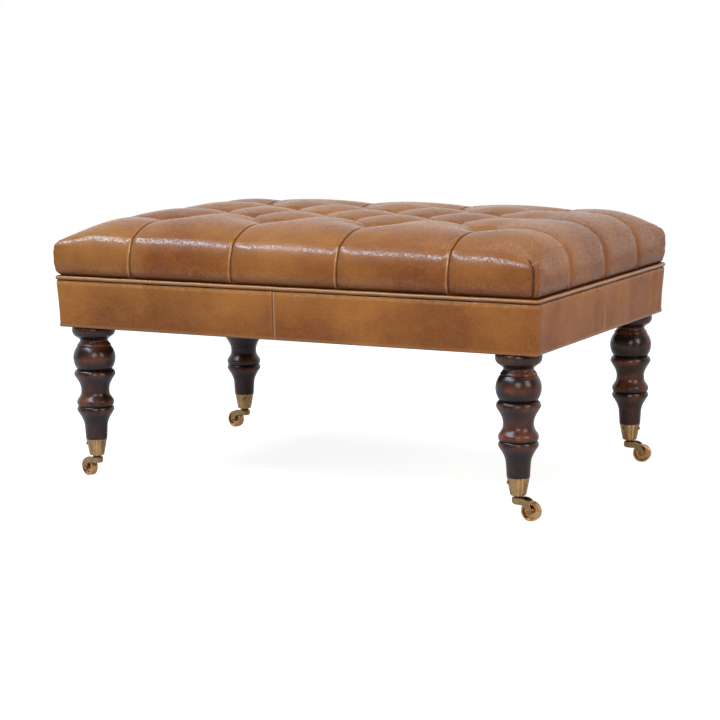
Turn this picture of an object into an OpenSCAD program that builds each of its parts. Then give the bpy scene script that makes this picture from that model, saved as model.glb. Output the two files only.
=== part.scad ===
// Buttoned leather ottoman on turned legs with brass cup castors.
// Origin on the floor under the middle, +X along the length, +Z up, the seen front on the -Y side.

/* [Border] */
// Length over the leather border
border_l = 900; // [780:10:1100]
// Width over the leather border
border_w = 600; // [520:10:760]
// Radius of the border's upright corners
border_r = 9; // [8:0.5:14]
// Thickness of the leather
leather_t = 1.6; // [1.2:0.1:2.2]
// Width of leather that is folded under the rails
return_w = 22; // [16:1:24]
// Thickness of the card strip in the border's top edge
strip_t = 1.2; // [0.8:0.1:1.6]
// Height of the card strip
strip_h = 12; // [8:1:16]

/* [Piping] */
// Diameter of the piping
pipe_d = 7; // [5:0.5:9]
// Distance from the border's face out to the middle of the piping
pipe_out = 1.1; // [0.5:0.1:2]
// Thickness of the piping's sewn flange
flange_t = 1.2; // [0.8:0.1:1.8]
// Height of the flange below the middle of the piping
flange_h = 12; // [8:1:14]

/* [Frame] */
// Thickness of the rails
rail_t = 22; // [18:1:26]
// Height of the rails
rail_h = 73.4; // [60:0.2:90]
// Height of the cross rails
cross_h = 50; // [35:1:58]
// Thickness of the deck board
deck_t = 12; // [9:1:18]
// Length of a corner block along each rail
block_l = 95; // [85:1:110]
// Thickness of a corner block
block_t = 36; // [30:1:44]
// Thickness of the dust cover
dust_t = 0.6; // [0.4:0.1:1]
// Distance from the border's face in to the dust cover's edge
dust_in = 10; // [6:1:13]

/* [Cushion] */
// Height of the cushion's shoulder above the deck board
shoulder_h = 69.2; // [50:0.2:85]
// Rise of the crown above the shoulder
crown_h = 42; // [30:1:60]
// Distance that the sides bulge past the border's face
bulge = 6.5; // [4:0.5:9]
// Width of the rolled edge
roll_w = 24; // [22:1:30]
// Thickness of the fibre wrap over the foam
wrap_t = 6; // [4:0.5:7]

/* [Buttons] */
// Distance between neighbouring buttons in a row
button_pitch = 200; // [160:5:240]
// Distance between rows of buttons
row_pitch = 80; // [65:5:95]
// Least distance from the border's face to the outer buttons
button_margin = 110; // [90:5:130]
// Diameter of a button
button_d = 25; // [18:1:28]
// Depth of a button's seat below the crown
button_sink = 28; // [20:1:34]
// Depth of the pleats between the buttons
pleat_depth = 14; // [8:1:18]
// Depth of the pleats in the cushion's sides
fold_in = 4; // [2:0.5:5]
// Diameter of the button twine
twine_d = 2; // [1.5:0.25:3]
// Diameter of the washers under the deck board
tie_washer_d = 22; // [16:1:26]

/* [Legs] */
// Height of the turned leg above its castor cup
leg_h = 202; // [190:1:260]
// Distance from a short rail's inner face to a leg's bolt
leg_in_x = 16.6; // [12:0.2:24]
// Distance from a long rail's inner face to a leg's bolt
leg_in_y = 9.6; // [9.6:0.2:20]
// Diameter of the plate at the top of the leg
plate_d = 76; // [66:1:76]
// Diameter of the neck under the plate
neck_d = 49; // [40:0.5:54]
// Diameter at the fine line above the ball
ring_d = 59.5; // [54:0.5:64]
// Diameter of the ball
ball_d = 74; // [66:0.5:80]
// Diameter of the collar under the ball
collar_d = 72.5; // [66:0.5:80]
// Diameter of the groove between ball and collar
groove_d = 60; // [54:0.5:64]
// Diameter of the long cove
cove_d = 49.5; // [42:0.5:56]
// Diameter of the two beads
bead_d = 65.4; // [58:0.2:72]
// Diameter of the groove between the beads
bead_groove_d = 58.5; // [50:0.5:62]
// Diameter at the top of the taper
taper_d = 40; // [38:0.5:50]
// Diameter at the foot of the taper, above the cup
foot_d = 37.8; // [36.8:0.2:40]
// Diameter of the hanger bolts
bolt_d = 8; // [6:1:9]
// Depth of a hanger bolt in its leg
bolt_depth = 40; // [30:1:60]

/* [Castors] */
// Diameter of the wheels
wheel_d = 32; // [26:1:38]
// Width of a wheel's tread
wheel_w = 14; // [10:1:16]
// Diameter of the axles
axle_d = 4; // [3:0.5:5]
// Distance from the swivel pin to the axle
trail = 23.5; // [22:0.5:30]
// Radius of the bend in a horn's arms
arm_bend = 15.3; // [14:0.1:18]
// Width of a horn's arms
arm_w = 10.6; // [9:0.1:12]
// Thickness of a horn's arms
arm_t = 2.9; // [2.2:0.1:3.6]
// Diameter of the swivel pins
pin_d = 6; // [5:0.5:8]
// Thickness of the bearing washers
washer_t = 1.7; // [1:0.1:2.5]
// Height of a cup
cup_h = 30.6; // [26:0.2:36]
// Diameter of a cup at its rim
cup_d = 36.6; // [34:0.2:36.8]
// Diameter of a cup above its rounded base
cup_base_d = 27.5; // [24:0.5:29]
// Thickness of a cup's wall
cup_wall = 1.8; // [1.4:0.1:2.4]
// Thickness of a cup's floor
cup_floor = 6.4; // [5:0.2:8]
// Heading of the front left castor's trail, in degrees from +X
heading_front_left = 159; // [-180:1:180]
// Heading of the front right castor's trail
heading_front_right = -4; // [-180:1:180]
// Heading of the back right castor's trail
heading_back_right = 7; // [-180:1:180]
// Heading of the back left castor's trail
heading_back_left = 168; // [-180:1:180]

/* [Screws] */
// Diameter of the frame and deck screws
screw_d = 4.5; // [3.5:0.5:6]
// Diameter of their heads
screw_head_d = 8.6; // [7.5:0.1:10]
// Height of their heads
screw_head_h = 3; // [2:0.5:4]
// Depth of a frame screw in a cross rail
cross_bite = 34; // [24:1:45]
// Depth of a deck screw in a rail
deck_bite = 24; // [16:1:30]
// Diameter of the cup screws
cup_screw_d = 3; // [2:0.5:3.5]
// Diameter of the cup screws' heads
cup_head_d = 6; // [5:0.5:7]
// Pitch of the dust cover's staples
staple_pitch = 60; // [40:5:90]

/* [Clearances] */
// Radial clearance of a turning fit
run_clear = 0.06; // [0.03:0.01:0.09]
// Radial clearance of a screw, bolt or fixed pin in its hole
fit_clear = 0.04; // [0.02:0.01:0.08]
// Clearance between layers
layer_clear = 0.1; // [0.05:0.05:0.2]
// Clearance beside soft layers, and end play of turning pieces
soft_clear = 0.3; // [0.2:0.05:0.5]

/* [Hidden] */
$fn = 64;

// Small length that lets a cut run past a face
past = 1;

// Corners in the order front left, front right, back right, back left
CORNERS = [[-1, -1], [1, -1], [1, 1], [-1, 1]];
HEADINGS = [heading_front_left, heading_front_right, heading_back_right, heading_back_left];
FL = 0;
FR = 1;
BR = 2;
BL = 3;

// Layers across the top edge, measured in from the border's face
in_strip = leather_t + layer_clear;
in_flange = in_strip + strip_t + layer_clear;
in_skirt = in_flange + flange_t + soft_clear;
in_frame = in_skirt + leather_t + soft_clear;
pad_in = leather_t + soft_clear;

// Castor heights
wheel_r = wheel_d / 2;
strap_z = wheel_r + arm_bend;
horn_top = strap_z + arm_w / 2;
cup_z = horn_top + washer_t + soft_clear;
cup_rim_z = cup_z + cup_h;

// Frame heights
leg_top_z = cup_rim_z + leg_h;
dust_z = leg_top_z;
border_z = dust_z + dust_t;
rail_z = border_z + leather_t;
deck_z = rail_z + rail_h;
deck_top = deck_z + deck_t;
pipe_r = pipe_d / 2;
border_top = deck_top - pipe_r - layer_clear;
strip_z = border_top - strip_h;

half_l = border_l / 2;
half_w = border_w / 2;
inner_x = half_l - in_frame - rail_t;
inner_y = half_w - in_frame - rail_t;
leg_x = inner_x - leg_in_x;
leg_y = inner_y - leg_in_y;

// Where the border's lengths are seamed
front_seam_x = -20;
back_seam_x = 20;

// Buttoning: outer rows hold one button more than the rows between them
half_pitch = button_pitch / 2;
columns = 1 + floor((border_l - 2 * button_margin) / button_pitch);
side_rows = floor((half_w - button_margin) / row_pitch);
outer_x = (columns - 1) * half_pitch;
outer_y = side_rows * row_pitch;
lattice_phase = (columns + side_rows) % 2;
cross_x = 1.5 * half_pitch;
BUTTONS = [
    for (row = [-side_rows : side_rows])
        let (n = columns - (side_rows - abs(row)) % 2)
            for (k = [0 : n - 1]) [(2 * k - n + 1) * half_pitch, row * row_pitch]
];

// Upright corner shape of the cushion's layers
corner_pull = 0.3 * border_r;
// How full the crown is: higher is flatter, with a tighter roll at the edge
crown_full = 8;
// How puffed the leather is between its pleats
puff = 0.6;
// Share of the pleats' depth that is left at the edge
edge_share = 0.35;
shoulder_z = deck_top + shoulder_h;

// Knots under the washers, the washers' thickness and the holes through the layers
knot_d = 3 * twine_d;
knot_h = 2 * twine_d;
tie_washer_t = 1.5;
tie_hole_d = 5;

// Lines of the cushion's surface: at each quarter pitch in the buttoned field, then out to the edge
x_steps = 4 * (columns - 1);
y_steps = 4 * side_rows;
function edge_lines(last, edge, shares) = [for (s = shares) last + s * (edge - roll_w - last)];
function both_ways(out, mid) = concat([for (i = [len(out) - 1 : -1 : 0]) -out[i]], mid, out);
X_LINES = both_ways(
    concat(edge_lines(outer_x, half_l, [0.4, 0.8, 1]), [half_l]),
    [for (i = [0 : x_steps]) -outer_x + i * half_pitch / 2]);
Y_LINES = both_ways(
    concat(edge_lines(outer_y, half_w, [0.5, 1]), [half_w]),
    [for (j = [0 : y_steps]) -outer_y + j * row_pitch / 2]);
nx = len(X_LINES) - 1;
ny = len(Y_LINES) - 1;
ring_n = 2 * (nx + ny);

// How the skirt turns the frame's rounded corner, as shares of the corner's radius: how far the corner point
// is drawn in along each side, and how far from the corner its neighbours lie. One runs inside the arc, the
// other outside it
INSIDE_ARC = [1 - cos(45), 1];
OUTSIDE_ARC = [1 - 1 / (cos(22.5) + sin(22.5)), 1 - tan(11.25)];

// Rings of the cushion's sides: distance out from the border's face, height, share of the side pleats, and
// the way round the corner in the skirt
COVER_ROWS = [
    [-in_skirt, deck_top - 10.8, 0, INSIDE_ARC],
    [-in_skirt, deck_top + 1.5, 0, INSIDE_ARC],
    [1.5, deck_top + 5.8, 0.4],
    [bulge, deck_top + 0.42 * shoulder_h, 1],
    [bulge - 2, deck_top + 0.76 * shoulder_h, 1]
];
LINING_ROWS = [
    [-in_skirt - leather_t, deck_top - 10.8, 0, OUTSIDE_ARC],
    [-in_skirt - leather_t, deck_top + 2.4, 0, OUTSIDE_ARC],
    [1.5 - leather_t, deck_top + 7, 0.4],
    [bulge - 2.4, deck_top + 0.63 * shoulder_h, 1]
];
cover_edge = -8;
lining_edge = cover_edge - leather_t;
wrap_drop = leather_t + 2 * soft_clear;

function shift_rows(rows, inward, low) = [
    for (i = [0 : len(rows) - 1])
        [rows[i][0] - inward, i == 0 ? low : rows[i][1] + 0.2 * inward, rows[i][2], rows[i][3]]
];
WRAP_ROWS = shift_rows(LINING_ROWS, soft_clear, deck_top);
WRAP_INNER_ROWS = shift_rows(LINING_ROWS, soft_clear + wrap_t, deck_top);
FOAM_ROWS = shift_rows(LINING_ROWS, 2 * soft_clear + wrap_t, deck_top);

// 1 on a crown, 0 on a pleat
function wave(t) = abs(cos(90 * t));
function ramp(t) = sin(90 * min(1, t));
function puffed(x, y) =
    let (ax = abs(x), ay = abs(y))
    ax > outer_x && ay > outer_y
        ? ramp((ax - outer_x) / half_pitch) * ramp((ay - outer_y) / row_pitch)
        : ay > outer_y ? wave(x / half_pitch + columns)
        : ax > outer_x ? wave(y / row_pitch + side_rows + 1)
        : wave(x / half_pitch + lattice_phase + y / row_pitch)
            * wave(x / half_pitch + lattice_phase - y / row_pitch);
// 1 in a button's seat, 0 away from it
function seat(x, y) =
    abs(x) > outer_x || abs(y) > outer_y ? 0
        : max(0, 1 - wave(x / half_pitch + lattice_phase + y / row_pitch)
            - wave(x / half_pitch + lattice_phase - y / row_pitch));
// Share of the pleats' depth at a place, fading from the outer buttons to the edge
function fade(x, y) = 1 - (1 - edge_share) * max(0,
    (abs(x) - outer_x) / (half_l - outer_x), (abs(y) - outer_y) / (half_w - outer_y));
function crown(x, y) =
    shoulder_z + crown_h * (1 - pow(abs(x) / half_l, crown_full)) * (1 - pow(abs(y) / half_w, crown_full));
function top_z(x, y) = crown(x, y)
    - pleat_depth * fade(x, y) * (1 - pow(puffed(x, y), puff))
    - (button_sink - pleat_depth) * seat(x, y);

// Place k round the edge, counted from the front left corner, as [column, row]
function round_edge(k) =
    k < nx ? [k, 0]
    : k < nx + ny ? [nx, k - nx]
    : k < 2 * nx + ny ? [2 * nx + ny - k, ny]
    : [0, ring_n - k];
// Direction out of the edge at [column, row]
function side_of(i, n) = i == 0 ? -1 : i == n ? 1 : 0;
function edge_point(c, out, z, share) =
    let (sx = side_of(c[0], nx), sy = side_of(c[1], ny),
         corner = abs(sx * sy),
         x = X_LINES[c[0]], y = Y_LINES[c[1]],
         o = out - corner_pull * corner - fold_in * share * (1 - corner) * (1 - puffed(x, y)))
    [x + sx * o, y + sy * o, z];
// The same in the skirt, where the points beside a corner come close to it
function beside_corner(i, n) = i == 1 ? -1 : i == n - 1 ? 1 : 0;
function skirt_point(c, out, z, way) =
    let (sx = side_of(c[0], nx), sy = side_of(c[1], ny),
         bx = beside_corner(c[0], nx), by = beside_corner(c[1], ny),
         radius = max(border_r + out, past),
         o = out - way[0] * radius * abs(sx * sy),
         b = out - way[1] * radius)
    [bx == 0 ? X_LINES[c[0]] + sx * o : bx * (half_l + b),
     by == 0 ? Y_LINES[c[1]] + sy * o : by * (half_w + b), z];
function row_point(r, c) =
    is_undef(r[3]) ? edge_point(c, r[0], r[1], r[2]) : skirt_point(c, r[0], r[1], r[3]);
function layer_points(rows, edge, drop) = concat(
    [for (r = rows) for (k = [0 : ring_n - 1]) row_point(r, round_edge(k))],
    [for (j = [0 : ny]) for (i = [0 : nx])
        let (sx = side_of(i, nx), sy = side_of(j, ny), z = top_z(X_LINES[i], Y_LINES[j]) - drop)
        sx == 0 && sy == 0 ? [X_LINES[i], Y_LINES[j], z] : edge_point([i, j], edge, z, 0.6)]);

// Triangles of a layer's surface, facing out, from its first point on
function strip_faces(low, high) = [
    for (k = [0 : ring_n - 1])
        let (n = (k + 1) % ring_n)
            each [[low(k), low(n), high(n)], [low(k), high(n), high(k)]]
];
function layer_faces(rows, first) =
    let (
        grid = first + rows * ring_n,
        at_row = function (r) function (k) first + r * ring_n + k,
        at_edge = function (k) let (c = round_edge(k)) grid + c[1] * (nx + 1) + c[0])
    concat(
        [for (r = [0 : rows - 1])
            each strip_faces(at_row(r), r == rows - 1 ? at_edge : at_row(r + 1))],
        [for (j = [0 : ny - 1]) for (i = [0 : nx - 1])
            let (a = grid + j * (nx + 1) + i, b = a + 1, d = a + nx + 1, c = d + 1,
                 even = (i - nx / 2 + j - ny / 2) % 2 == 0)
                each even ? [[a, b, c], [a, c, d]] : [[a, b, d], [b, c, d]]]);
function flipped(faces) = [for (f = faces) [f[2], f[1], f[0]]];

// A closed shell between an outer and an inner layer that meet at their lowest rings
module shell(outer, outer_edge, outer_drop, inner, inner_edge, inner_drop) {
    outer_points = layer_points(outer, outer_edge, outer_drop);
    inner_points = layer_points(inner, inner_edge, inner_drop);
    first = len(outer_points);
    on_inner = function (k) first + k;
    on_outer = function (k) k;
    polyhedron(
        concat(outer_points, inner_points),
        concat(
            flipped(layer_faces(len(outer), 0)),
            layer_faces(len(inner), first),
            flipped(strip_faces(on_inner, on_outer))));
}

// A layer closed with a flat bottom
module filled(rows, edge, drop) {
    points = layer_points(rows, edge, drop);
    middle = len(points);
    polyhedron(
        concat(points, [[0, 0, rows[0][1]]]),
        flipped(concat(
            layer_faces(len(rows), 0),
            [for (k = [0 : ring_n - 1]) [middle, (k + 1) % ring_n, k]])));
}

// Rounded outline of the ottoman, set in from the border's face
module plan(inset) {
    r = max(border_r - inset, past);
    l = border_l - 2 * inset;
    w = border_w - 2 * inset;
    square([l - 2 * r, w], center = true);
    square([l, w - 2 * r], center = true);
    for (c = CORNERS) translate([c[0] * (l / 2 - r), c[1] * (w / 2 - r)]) circle(r);
}

module ring(outer_in, inner_in, low, high) {
    translate([0, 0, low]) linear_extrude(high - low) difference() {
        plan(outer_in);
        plan(inner_in);
    }
}

module at_leg(i) {
    translate([CORNERS[i][0] * leg_x, CORNERS[i][1] * leg_y, 0]) children();
}

// A castor's own frame: origin under the swivel pin, +X along the trail
module at_castor(i) {
    at_leg(i) rotate(HEADINGS[i]) children();
}

// Screw with its head's seat at the origin and its shank along +Z; grow and lift turn it into its hole
module screw(length, grow = 0, lift = 0) {
    cylinder(d = screw_d + 2 * grow, h = length + grow);
    translate([0, 0, -screw_head_h - lift]) cylinder(d = screw_head_d + 2 * grow, h = screw_head_h + lift);
}

// Screws of the corner blocks, from inside the block into each rail
block_screw_at = 0.68 * block_l;
block_seat = 14;
block_screw_l = block_seat + 0.7 * rail_t;
module block_screws(i, grow = 0, lift = 0) {
    translate([CORNERS[i][0] * inner_x, CORNERS[i][1] * inner_y, rail_z + block_t / 2])
        scale_corner(i) {
            translate([-block_screw_at, -block_seat, 0]) rotate([-90, 0, 0]) screw(block_screw_l, grow, lift);
            translate([-block_seat, -block_screw_at, 0]) rotate([0, 90, 0]) screw(block_screw_l, grow, lift);
        }
}

module scale_corner(i) {
    mirror([CORNERS[i][0] < 0 ? 1 : 0, 0, 0]) mirror([0, CORNERS[i][1] < 0 ? 1 : 0, 0]) children();
}

// Screws through the long rails into the cross rails
cross_screw_l = rail_t + cross_bite;
module cross_screws(grow = 0, lift = 0) {
    for (x = [-cross_x, cross_x]) for (s = [-1, 1])
        translate([x, s * (inner_y + rail_t - screw_head_h), deck_z - cross_h / 2])
            rotate([s * 90, 0, 0]) screw(cross_screw_l, grow, lift);
}

// Screws through the deck board into the rails
deck_screw_l = deck_t + deck_bite;
rail_mid_x = inner_x + rail_t / 2;
rail_mid_y = inner_y + rail_t / 2;
DECK_SCREWS = concat(
    [for (x = [-1, -0.5, 0, 0.5, 1]) for (s = [-1, 1]) [x * (inner_x - block_l / 2), s * rail_mid_y]],
    [for (y = [-0.6, 0.6]) for (s = [-1, 1]) [s * rail_mid_x, y * inner_y]]);
module deck_screw_set(grow = 0, lift = 0) {
    for (p = DECK_SCREWS) translate([p[0], p[1], deck_top - screw_head_h])
        rotate([180, 0, 0]) screw(deck_screw_l, grow, lift);
}

module all_frame_screws(grow = 0, lift = 0) {
    for (i = [FL : BL]) block_screws(i, grow, lift);
    cross_screws(grow, lift);
}

// Twine holes through a layer
module tie_holes(low, high) {
    for (p = BUTTONS) translate([p[0], p[1], low]) cylinder(d = tie_hole_d, h = high - low);
}

rail_colour = "burlywood";
leather_colour = "#a9733d";
wood_colour = "#3a1c14";
brass_colour = "#b08d4c";

module long_rail(side) {
    color(rail_colour) difference() {
        translate([0, 0, rail_z]) linear_extrude(rail_h) intersection() {
            plan(in_frame);
            translate([-half_l, side > 0 ? inner_y : -inner_y - rail_t]) square([border_l, rail_t]);
        }
        all_frame_screws(fit_clear, past);
        deck_screw_set(fit_clear);
    }
}

module short_rail(side) {
    color(rail_colour) difference() {
        translate([side > 0 ? inner_x : -inner_x - rail_t, -inner_y, rail_z])
            cube([rail_t, 2 * inner_y, rail_h]);
        all_frame_screws(fit_clear, past);
        deck_screw_set(fit_clear);
    }
}

module cross_rail(side) {
    color(rail_colour) difference() {
        translate([side * cross_x - rail_t / 2, -inner_y, deck_z - cross_h])
            cube([rail_t, 2 * inner_y, cross_h]);
        cross_screws(fit_clear);
    }
}

module front_rail() { long_rail(-1); }
module back_rail() { long_rail(1); }
module left_rail() { short_rail(-1); }
module right_rail() { short_rail(1); }
module cross_rail_left() { cross_rail(-1); }
module cross_rail_right() { cross_rail(1); }

// Tee nut sizes, shared by the nuts and their seats
nut_barrel_d = bolt_d + 3;
nut_barrel_h = 10;
nut_flange_d = bolt_d + 10;
nut_flange_t = 1.6;
bolt_up = block_t + nut_flange_t + 4;

module corner_block(i) {
    blunt = block_l / 6;
    color(rail_colour) difference() {
        translate([CORNERS[i][0] * inner_x, CORNERS[i][1] * inner_y, rail_z]) scale_corner(i)
            linear_extrude(block_t) polygon([
                [0, 0], [-block_l, 0], [-block_l, -blunt], [-blunt, -block_l], [0, -block_l]]);
        block_screws(i, fit_clear, block_l);
        at_leg(i) {
            translate([0, 0, rail_z - past]) cylinder(d = bolt_d + 2 * fit_clear, h = block_t + 2 * past);
            translate([0, 0, rail_z + block_t - nut_barrel_h - fit_clear])
                cylinder(d = nut_barrel_d + 2 * fit_clear, h = nut_barrel_h + past);
        }
    }
}

module corner_block_front_left() { corner_block(FL); }
module corner_block_front_right() { corner_block(FR); }
module corner_block_back_right() { corner_block(BR); }
module corner_block_back_left() { corner_block(BL); }

module frame_screws() {
    color("silver") all_frame_screws();
}

module deck_board() {
    color("tan") difference() {
        translate([0, 0, deck_z]) linear_extrude(deck_t) plan(in_frame);
        tie_holes(deck_z - past, deck_top + past);
        deck_screw_set(fit_clear, past);
    }
}

module deck_screws() {
    color("silver") deck_screw_set();
}

module foam_block() {
    color("ivory") difference() {
        filled(FOAM_ROWS, lining_edge - 2 * soft_clear - wrap_t, wrap_drop + wrap_t + soft_clear);
        tie_holes(deck_top - past, shoulder_z + crown_h);
    }
}

module fibre_wrap() {
    color("white") difference() {
        shell(WRAP_ROWS, lining_edge - soft_clear, wrap_drop,
            WRAP_INNER_ROWS, lining_edge - soft_clear - wrap_t, wrap_drop + wrap_t);
        tie_holes(deck_top + past, shoulder_z + crown_h);
    }
}

module leather_top() {
    color(leather_colour) difference() {
        shell(COVER_ROWS, cover_edge, 0, LINING_ROWS, lining_edge, leather_t + soft_clear / 2);
        tie_holes(deck_top + past, shoulder_z + crown_h);
    }
}

// A covered button: domed top, cone under it that follows the tuft, short shank in the leather's hole
button_slope = 0.62;
button_dome = 4.5;
shank_d = twine_d + 1.8;
shank_l = 5;
function button_rim() = button_slope * button_d / 2;
module buttons() {
    r = button_d / 2;
    color(leather_colour) for (p = BUTTONS) translate([p[0], p[1], top_z(p[0], p[1]) + soft_clear])
        rotate_extrude() polygon(concat(
            [[0, -shank_l], [shank_d / 2, -shank_l], [shank_d / 2, button_slope * shank_d / 2]],
            [for (a = [0 : 10 : 90]) [r * cos(a), button_rim() + button_dome * sin(a)]]));
}

module button_ties() {
    knot_top = deck_z - tie_washer_t;
    color("linen") for (p = BUTTONS) translate([p[0], p[1], 0]) {
        translate([0, 0, knot_top])
            cylinder(d = twine_d, h = top_z(p[0], p[1]) + soft_clear - shank_l - knot_top);
        translate([0, 0, knot_top - knot_h]) cylinder(d = knot_d, h = knot_h);
    }
}

module tie_washers() {
    color("silver") for (p = BUTTONS) translate([p[0], p[1], deck_z - tie_washer_t]) difference() {
        cylinder(d = tie_washer_d, h = tie_washer_t);
        translate([0, 0, -past]) cylinder(d = twine_d + 2 * fit_clear, h = tie_washer_t + 2 * past);
    }
}

// Piping: a cord all round on the border's edge, with a web and a flange that hold it to the deck's edge
web_t = 1.2;
module piping() {
    bend = border_r + pipe_out;
    run_l = border_l - 2 * border_r;
    run_w = border_w - 2 * border_r;
    color(leather_colour) {
        translate([0, 0, deck_top]) {
            for (s = [-1, 1]) {
                translate([-run_l / 2, s * (half_w + pipe_out), 0])
                    rotate([0, 90, 0]) cylinder(r = pipe_r, h = run_l);
                translate([s * (half_l + pipe_out), -run_w / 2, 0])
                    rotate([-90, 0, 0]) cylinder(r = pipe_r, h = run_w);
            }
            for (c = [0 : 3]) translate([CORNERS[c][0] * run_l / 2, CORNERS[c][1] * run_w / 2, 0])
                rotate(180 + 90 * c) rotate_extrude(angle = 90) translate([bend, 0]) circle(pipe_r);
        }
        ring(-pipe_out, in_flange + flange_t, deck_top - web_t / 2, deck_top + web_t / 2);
        ring(in_flange, in_flange + flange_t, deck_top - flange_h, deck_top + web_t / 2);
    }
}

// One length of the border, round corner i, between its two seams
module border_panel(i) {
    seam_x = CORNERS[i][1] < 0 ? front_seam_x : back_seam_x;
    far_x = CORNERS[i][0] * (half_l + past);
    far_y = CORNERS[i][1] * (half_w + past);
    color(leather_colour) intersection() {
        union() {
            ring(0, leather_t, border_z, border_top);
            ring(0, leather_t + return_w, border_z, border_z + leather_t);
        }
        translate([min(seam_x, far_x), min(0, far_y), border_z - past])
            cube([abs(far_x - seam_x), abs(far_y), border_top - border_z + 2 * past]);
    }
}

module border_front_left() { border_panel(FL); }
module border_front_right() { border_panel(FR); }
module border_back_right() { border_panel(BR); }
module border_back_left() { border_panel(BL); }

module border_padding() {
    color("gainsboro") ring(pad_in, in_frame, rail_z, strip_z - soft_clear);
}

module backtack_strip() {
    color("peru") ring(in_strip, in_strip + strip_t, strip_z, border_top);
}

module dust_cover() {
    color("dimgray") difference() {
        translate([0, 0, dust_z]) linear_extrude(dust_t) plan(dust_in);
        for (i = [FL : BL]) at_leg(i) translate([0, 0, dust_z - past])
            cylinder(d = bolt_d + 2 * fit_clear, h = dust_t + 2 * past);
    }
}

// Staples through the dust cover and the folded leather into the rails
staple_w = 10;
staple_wire = 0.9;
staple_leg = 8;
staple_in = dust_in + 4;
leg_room = 60;
module staple() {
    translate([-staple_w / 2, -staple_wire / 2, -staple_wire]) cube([staple_w, staple_wire, staple_wire]);
    for (s = [-1, 1]) translate([s * (staple_w - staple_wire) / 2 - staple_wire / 2, -staple_wire / 2, 0])
        cube([staple_wire, staple_wire, staple_leg]);
}
function spread(reach) =
    let (n = floor(2 * reach / staple_pitch)) [for (k = [0 : n]) (k - n / 2) * staple_pitch];
module cover_staples() {
    color("silver") translate([0, 0, dust_z]) {
        for (x = spread(leg_x - leg_room)) for (s = [-1, 1])
            translate([x, s * (half_w - staple_in), 0]) staple();
        for (y = spread(leg_y - leg_room)) for (s = [-1, 1])
            translate([s * (half_l - staple_in), y, 0]) rotate(90) staple();
    }
}

// Turning steps of the leg. Each goes from a height and radius to the next, as an S that may lean to one end,
// as a quarter round whose full part is at its second or first end, or as a ball's arc up to its widest place
turn_n = 8;
function s_curve(z0, r0, z1, r1, lean = 1) = [
    for (k = [1 : turn_n]) let (t = k / turn_n)
        [(r0 + r1) / 2 + (r0 - r1) / 2 * cos(180 * t), z0 + (z1 - z0) * pow(t, lean)]
];
function ball_arc(z0, r0, z1, r1) = let (
        drop = abs(r1 - r0), span = z1 - z0, arc = (span * span + drop * drop) / (2 * drop),
        full = max(r0, r1), full_z = r1 > r0 ? z1 : z0)
    [for (k = [1 : turn_n]) let (z = z0 + span * k / turn_n)
        [full - arc + sqrt(arc * arc - pow(z - full_z, 2)), z]];
function swell(z0, r0, z1, r1) = [
    for (k = [1 : turn_n]) let (a = 90 * k / turn_n) [r0 + (r1 - r0) * sin(a), z1 + (z0 - z1) * cos(a)]
];
function sink(z0, r0, z1, r1) = [
    for (k = [1 : turn_n]) let (a = 90 * k / turn_n) [r1 + (r0 - r1) * cos(a), z0 + (z1 - z0) * sin(a)]
];

// Heights of the turning's features below the leg's top
plate_full = 6;
plate_low = 12.5;
neck_at = 25.2;
ring_at = 34.4;
ring_low = 35.6;
ball_at = 56.2;
groove_at = 76.8;
collar_at = 85.8;
cove_at = 114;
bead_at = 134.8;
bead_groove_at = 142.1;
low_bead_at = 149.6;
taper_at = 182;
plate_edge = 3;
line_cut = 0.7;

// The leg's foot inside the cup
foot_clear = 0.15;
pin_room = 5;
function cup_r(z) = cup_base_d / 2 + (cup_d - cup_base_d) / 2 * (z - cup_floor) / (cup_h - cup_floor);
foot_low = cup_floor + pin_room;

function leg_outline() = let (
        plate = plate_d / 2, neck = neck_d / 2, small = ring_d / 2, ball = ball_d / 2, groove = groove_d / 2,
        collar = collar_d / 2, cove = cove_d / 2, bead = bead_d / 2, bead_groove = bead_groove_d / 2,
        inside = cup_wall + foot_clear)
    concat(
        [[0, 0], [plate - plate_edge, 0]],
        swell(0, plate - plate_edge, -plate_full, plate),
        sink(-plate_full, plate, -plate_low, plate - plate_edge / 2),
        s_curve(-plate_low, plate - plate_edge / 2, -neck_at, neck),
        s_curve(-neck_at, neck, -ring_at, small),
        [[small - line_cut, -(ring_at + ring_low) / 2], [small, -ring_low]],
        ball_arc(-ring_low, small, -ball_at, ball),
        ball_arc(-ball_at, ball, -groove_at, groove),
        swell(-groove_at, groove, -collar_at, collar),
        s_curve(-collar_at, collar, -cove_at, cove, 1.5),
        s_curve(-cove_at, cove, -bead_at, bead, 0.7),
        sink(-bead_at, bead, -bead_groove_at, bead_groove),
        swell(-bead_groove_at, bead_groove, -low_bead_at, bead),
        s_curve(-low_bead_at, bead, -taper_at, taper_d / 2, 1.6),
        [[foot_d / 2, -leg_h + 1.5], [foot_d / 2 - 0.6, -leg_h],
            [cup_r(cup_h) - inside, -leg_h], [cup_r(foot_low) - inside, -leg_h - cup_h + foot_low],
            [0, -leg_h - cup_h + foot_low]]);

// The three screws of a cup stand square to its sloping wall
cup_slope = atan((cup_d - cup_base_d) / 2 / (cup_h - cup_floor));
cup_screw_drop = 8;
cup_screw_l = 13;
CUP_SCREW_TURNS = [0, 120, 240];
CUP_SCREW_STARTS = [98, -28, 5, 60];
module at_cup_screws(i) {
    z = cup_h - cup_screw_drop;
    at_leg(i) for (a = CUP_SCREW_TURNS) rotate(CUP_SCREW_STARTS[i] + a)
        translate([cup_r(z) + layer_clear / 2, 0, cup_z + z]) rotate([0, 90 + cup_slope, 0]) children();
}

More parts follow.
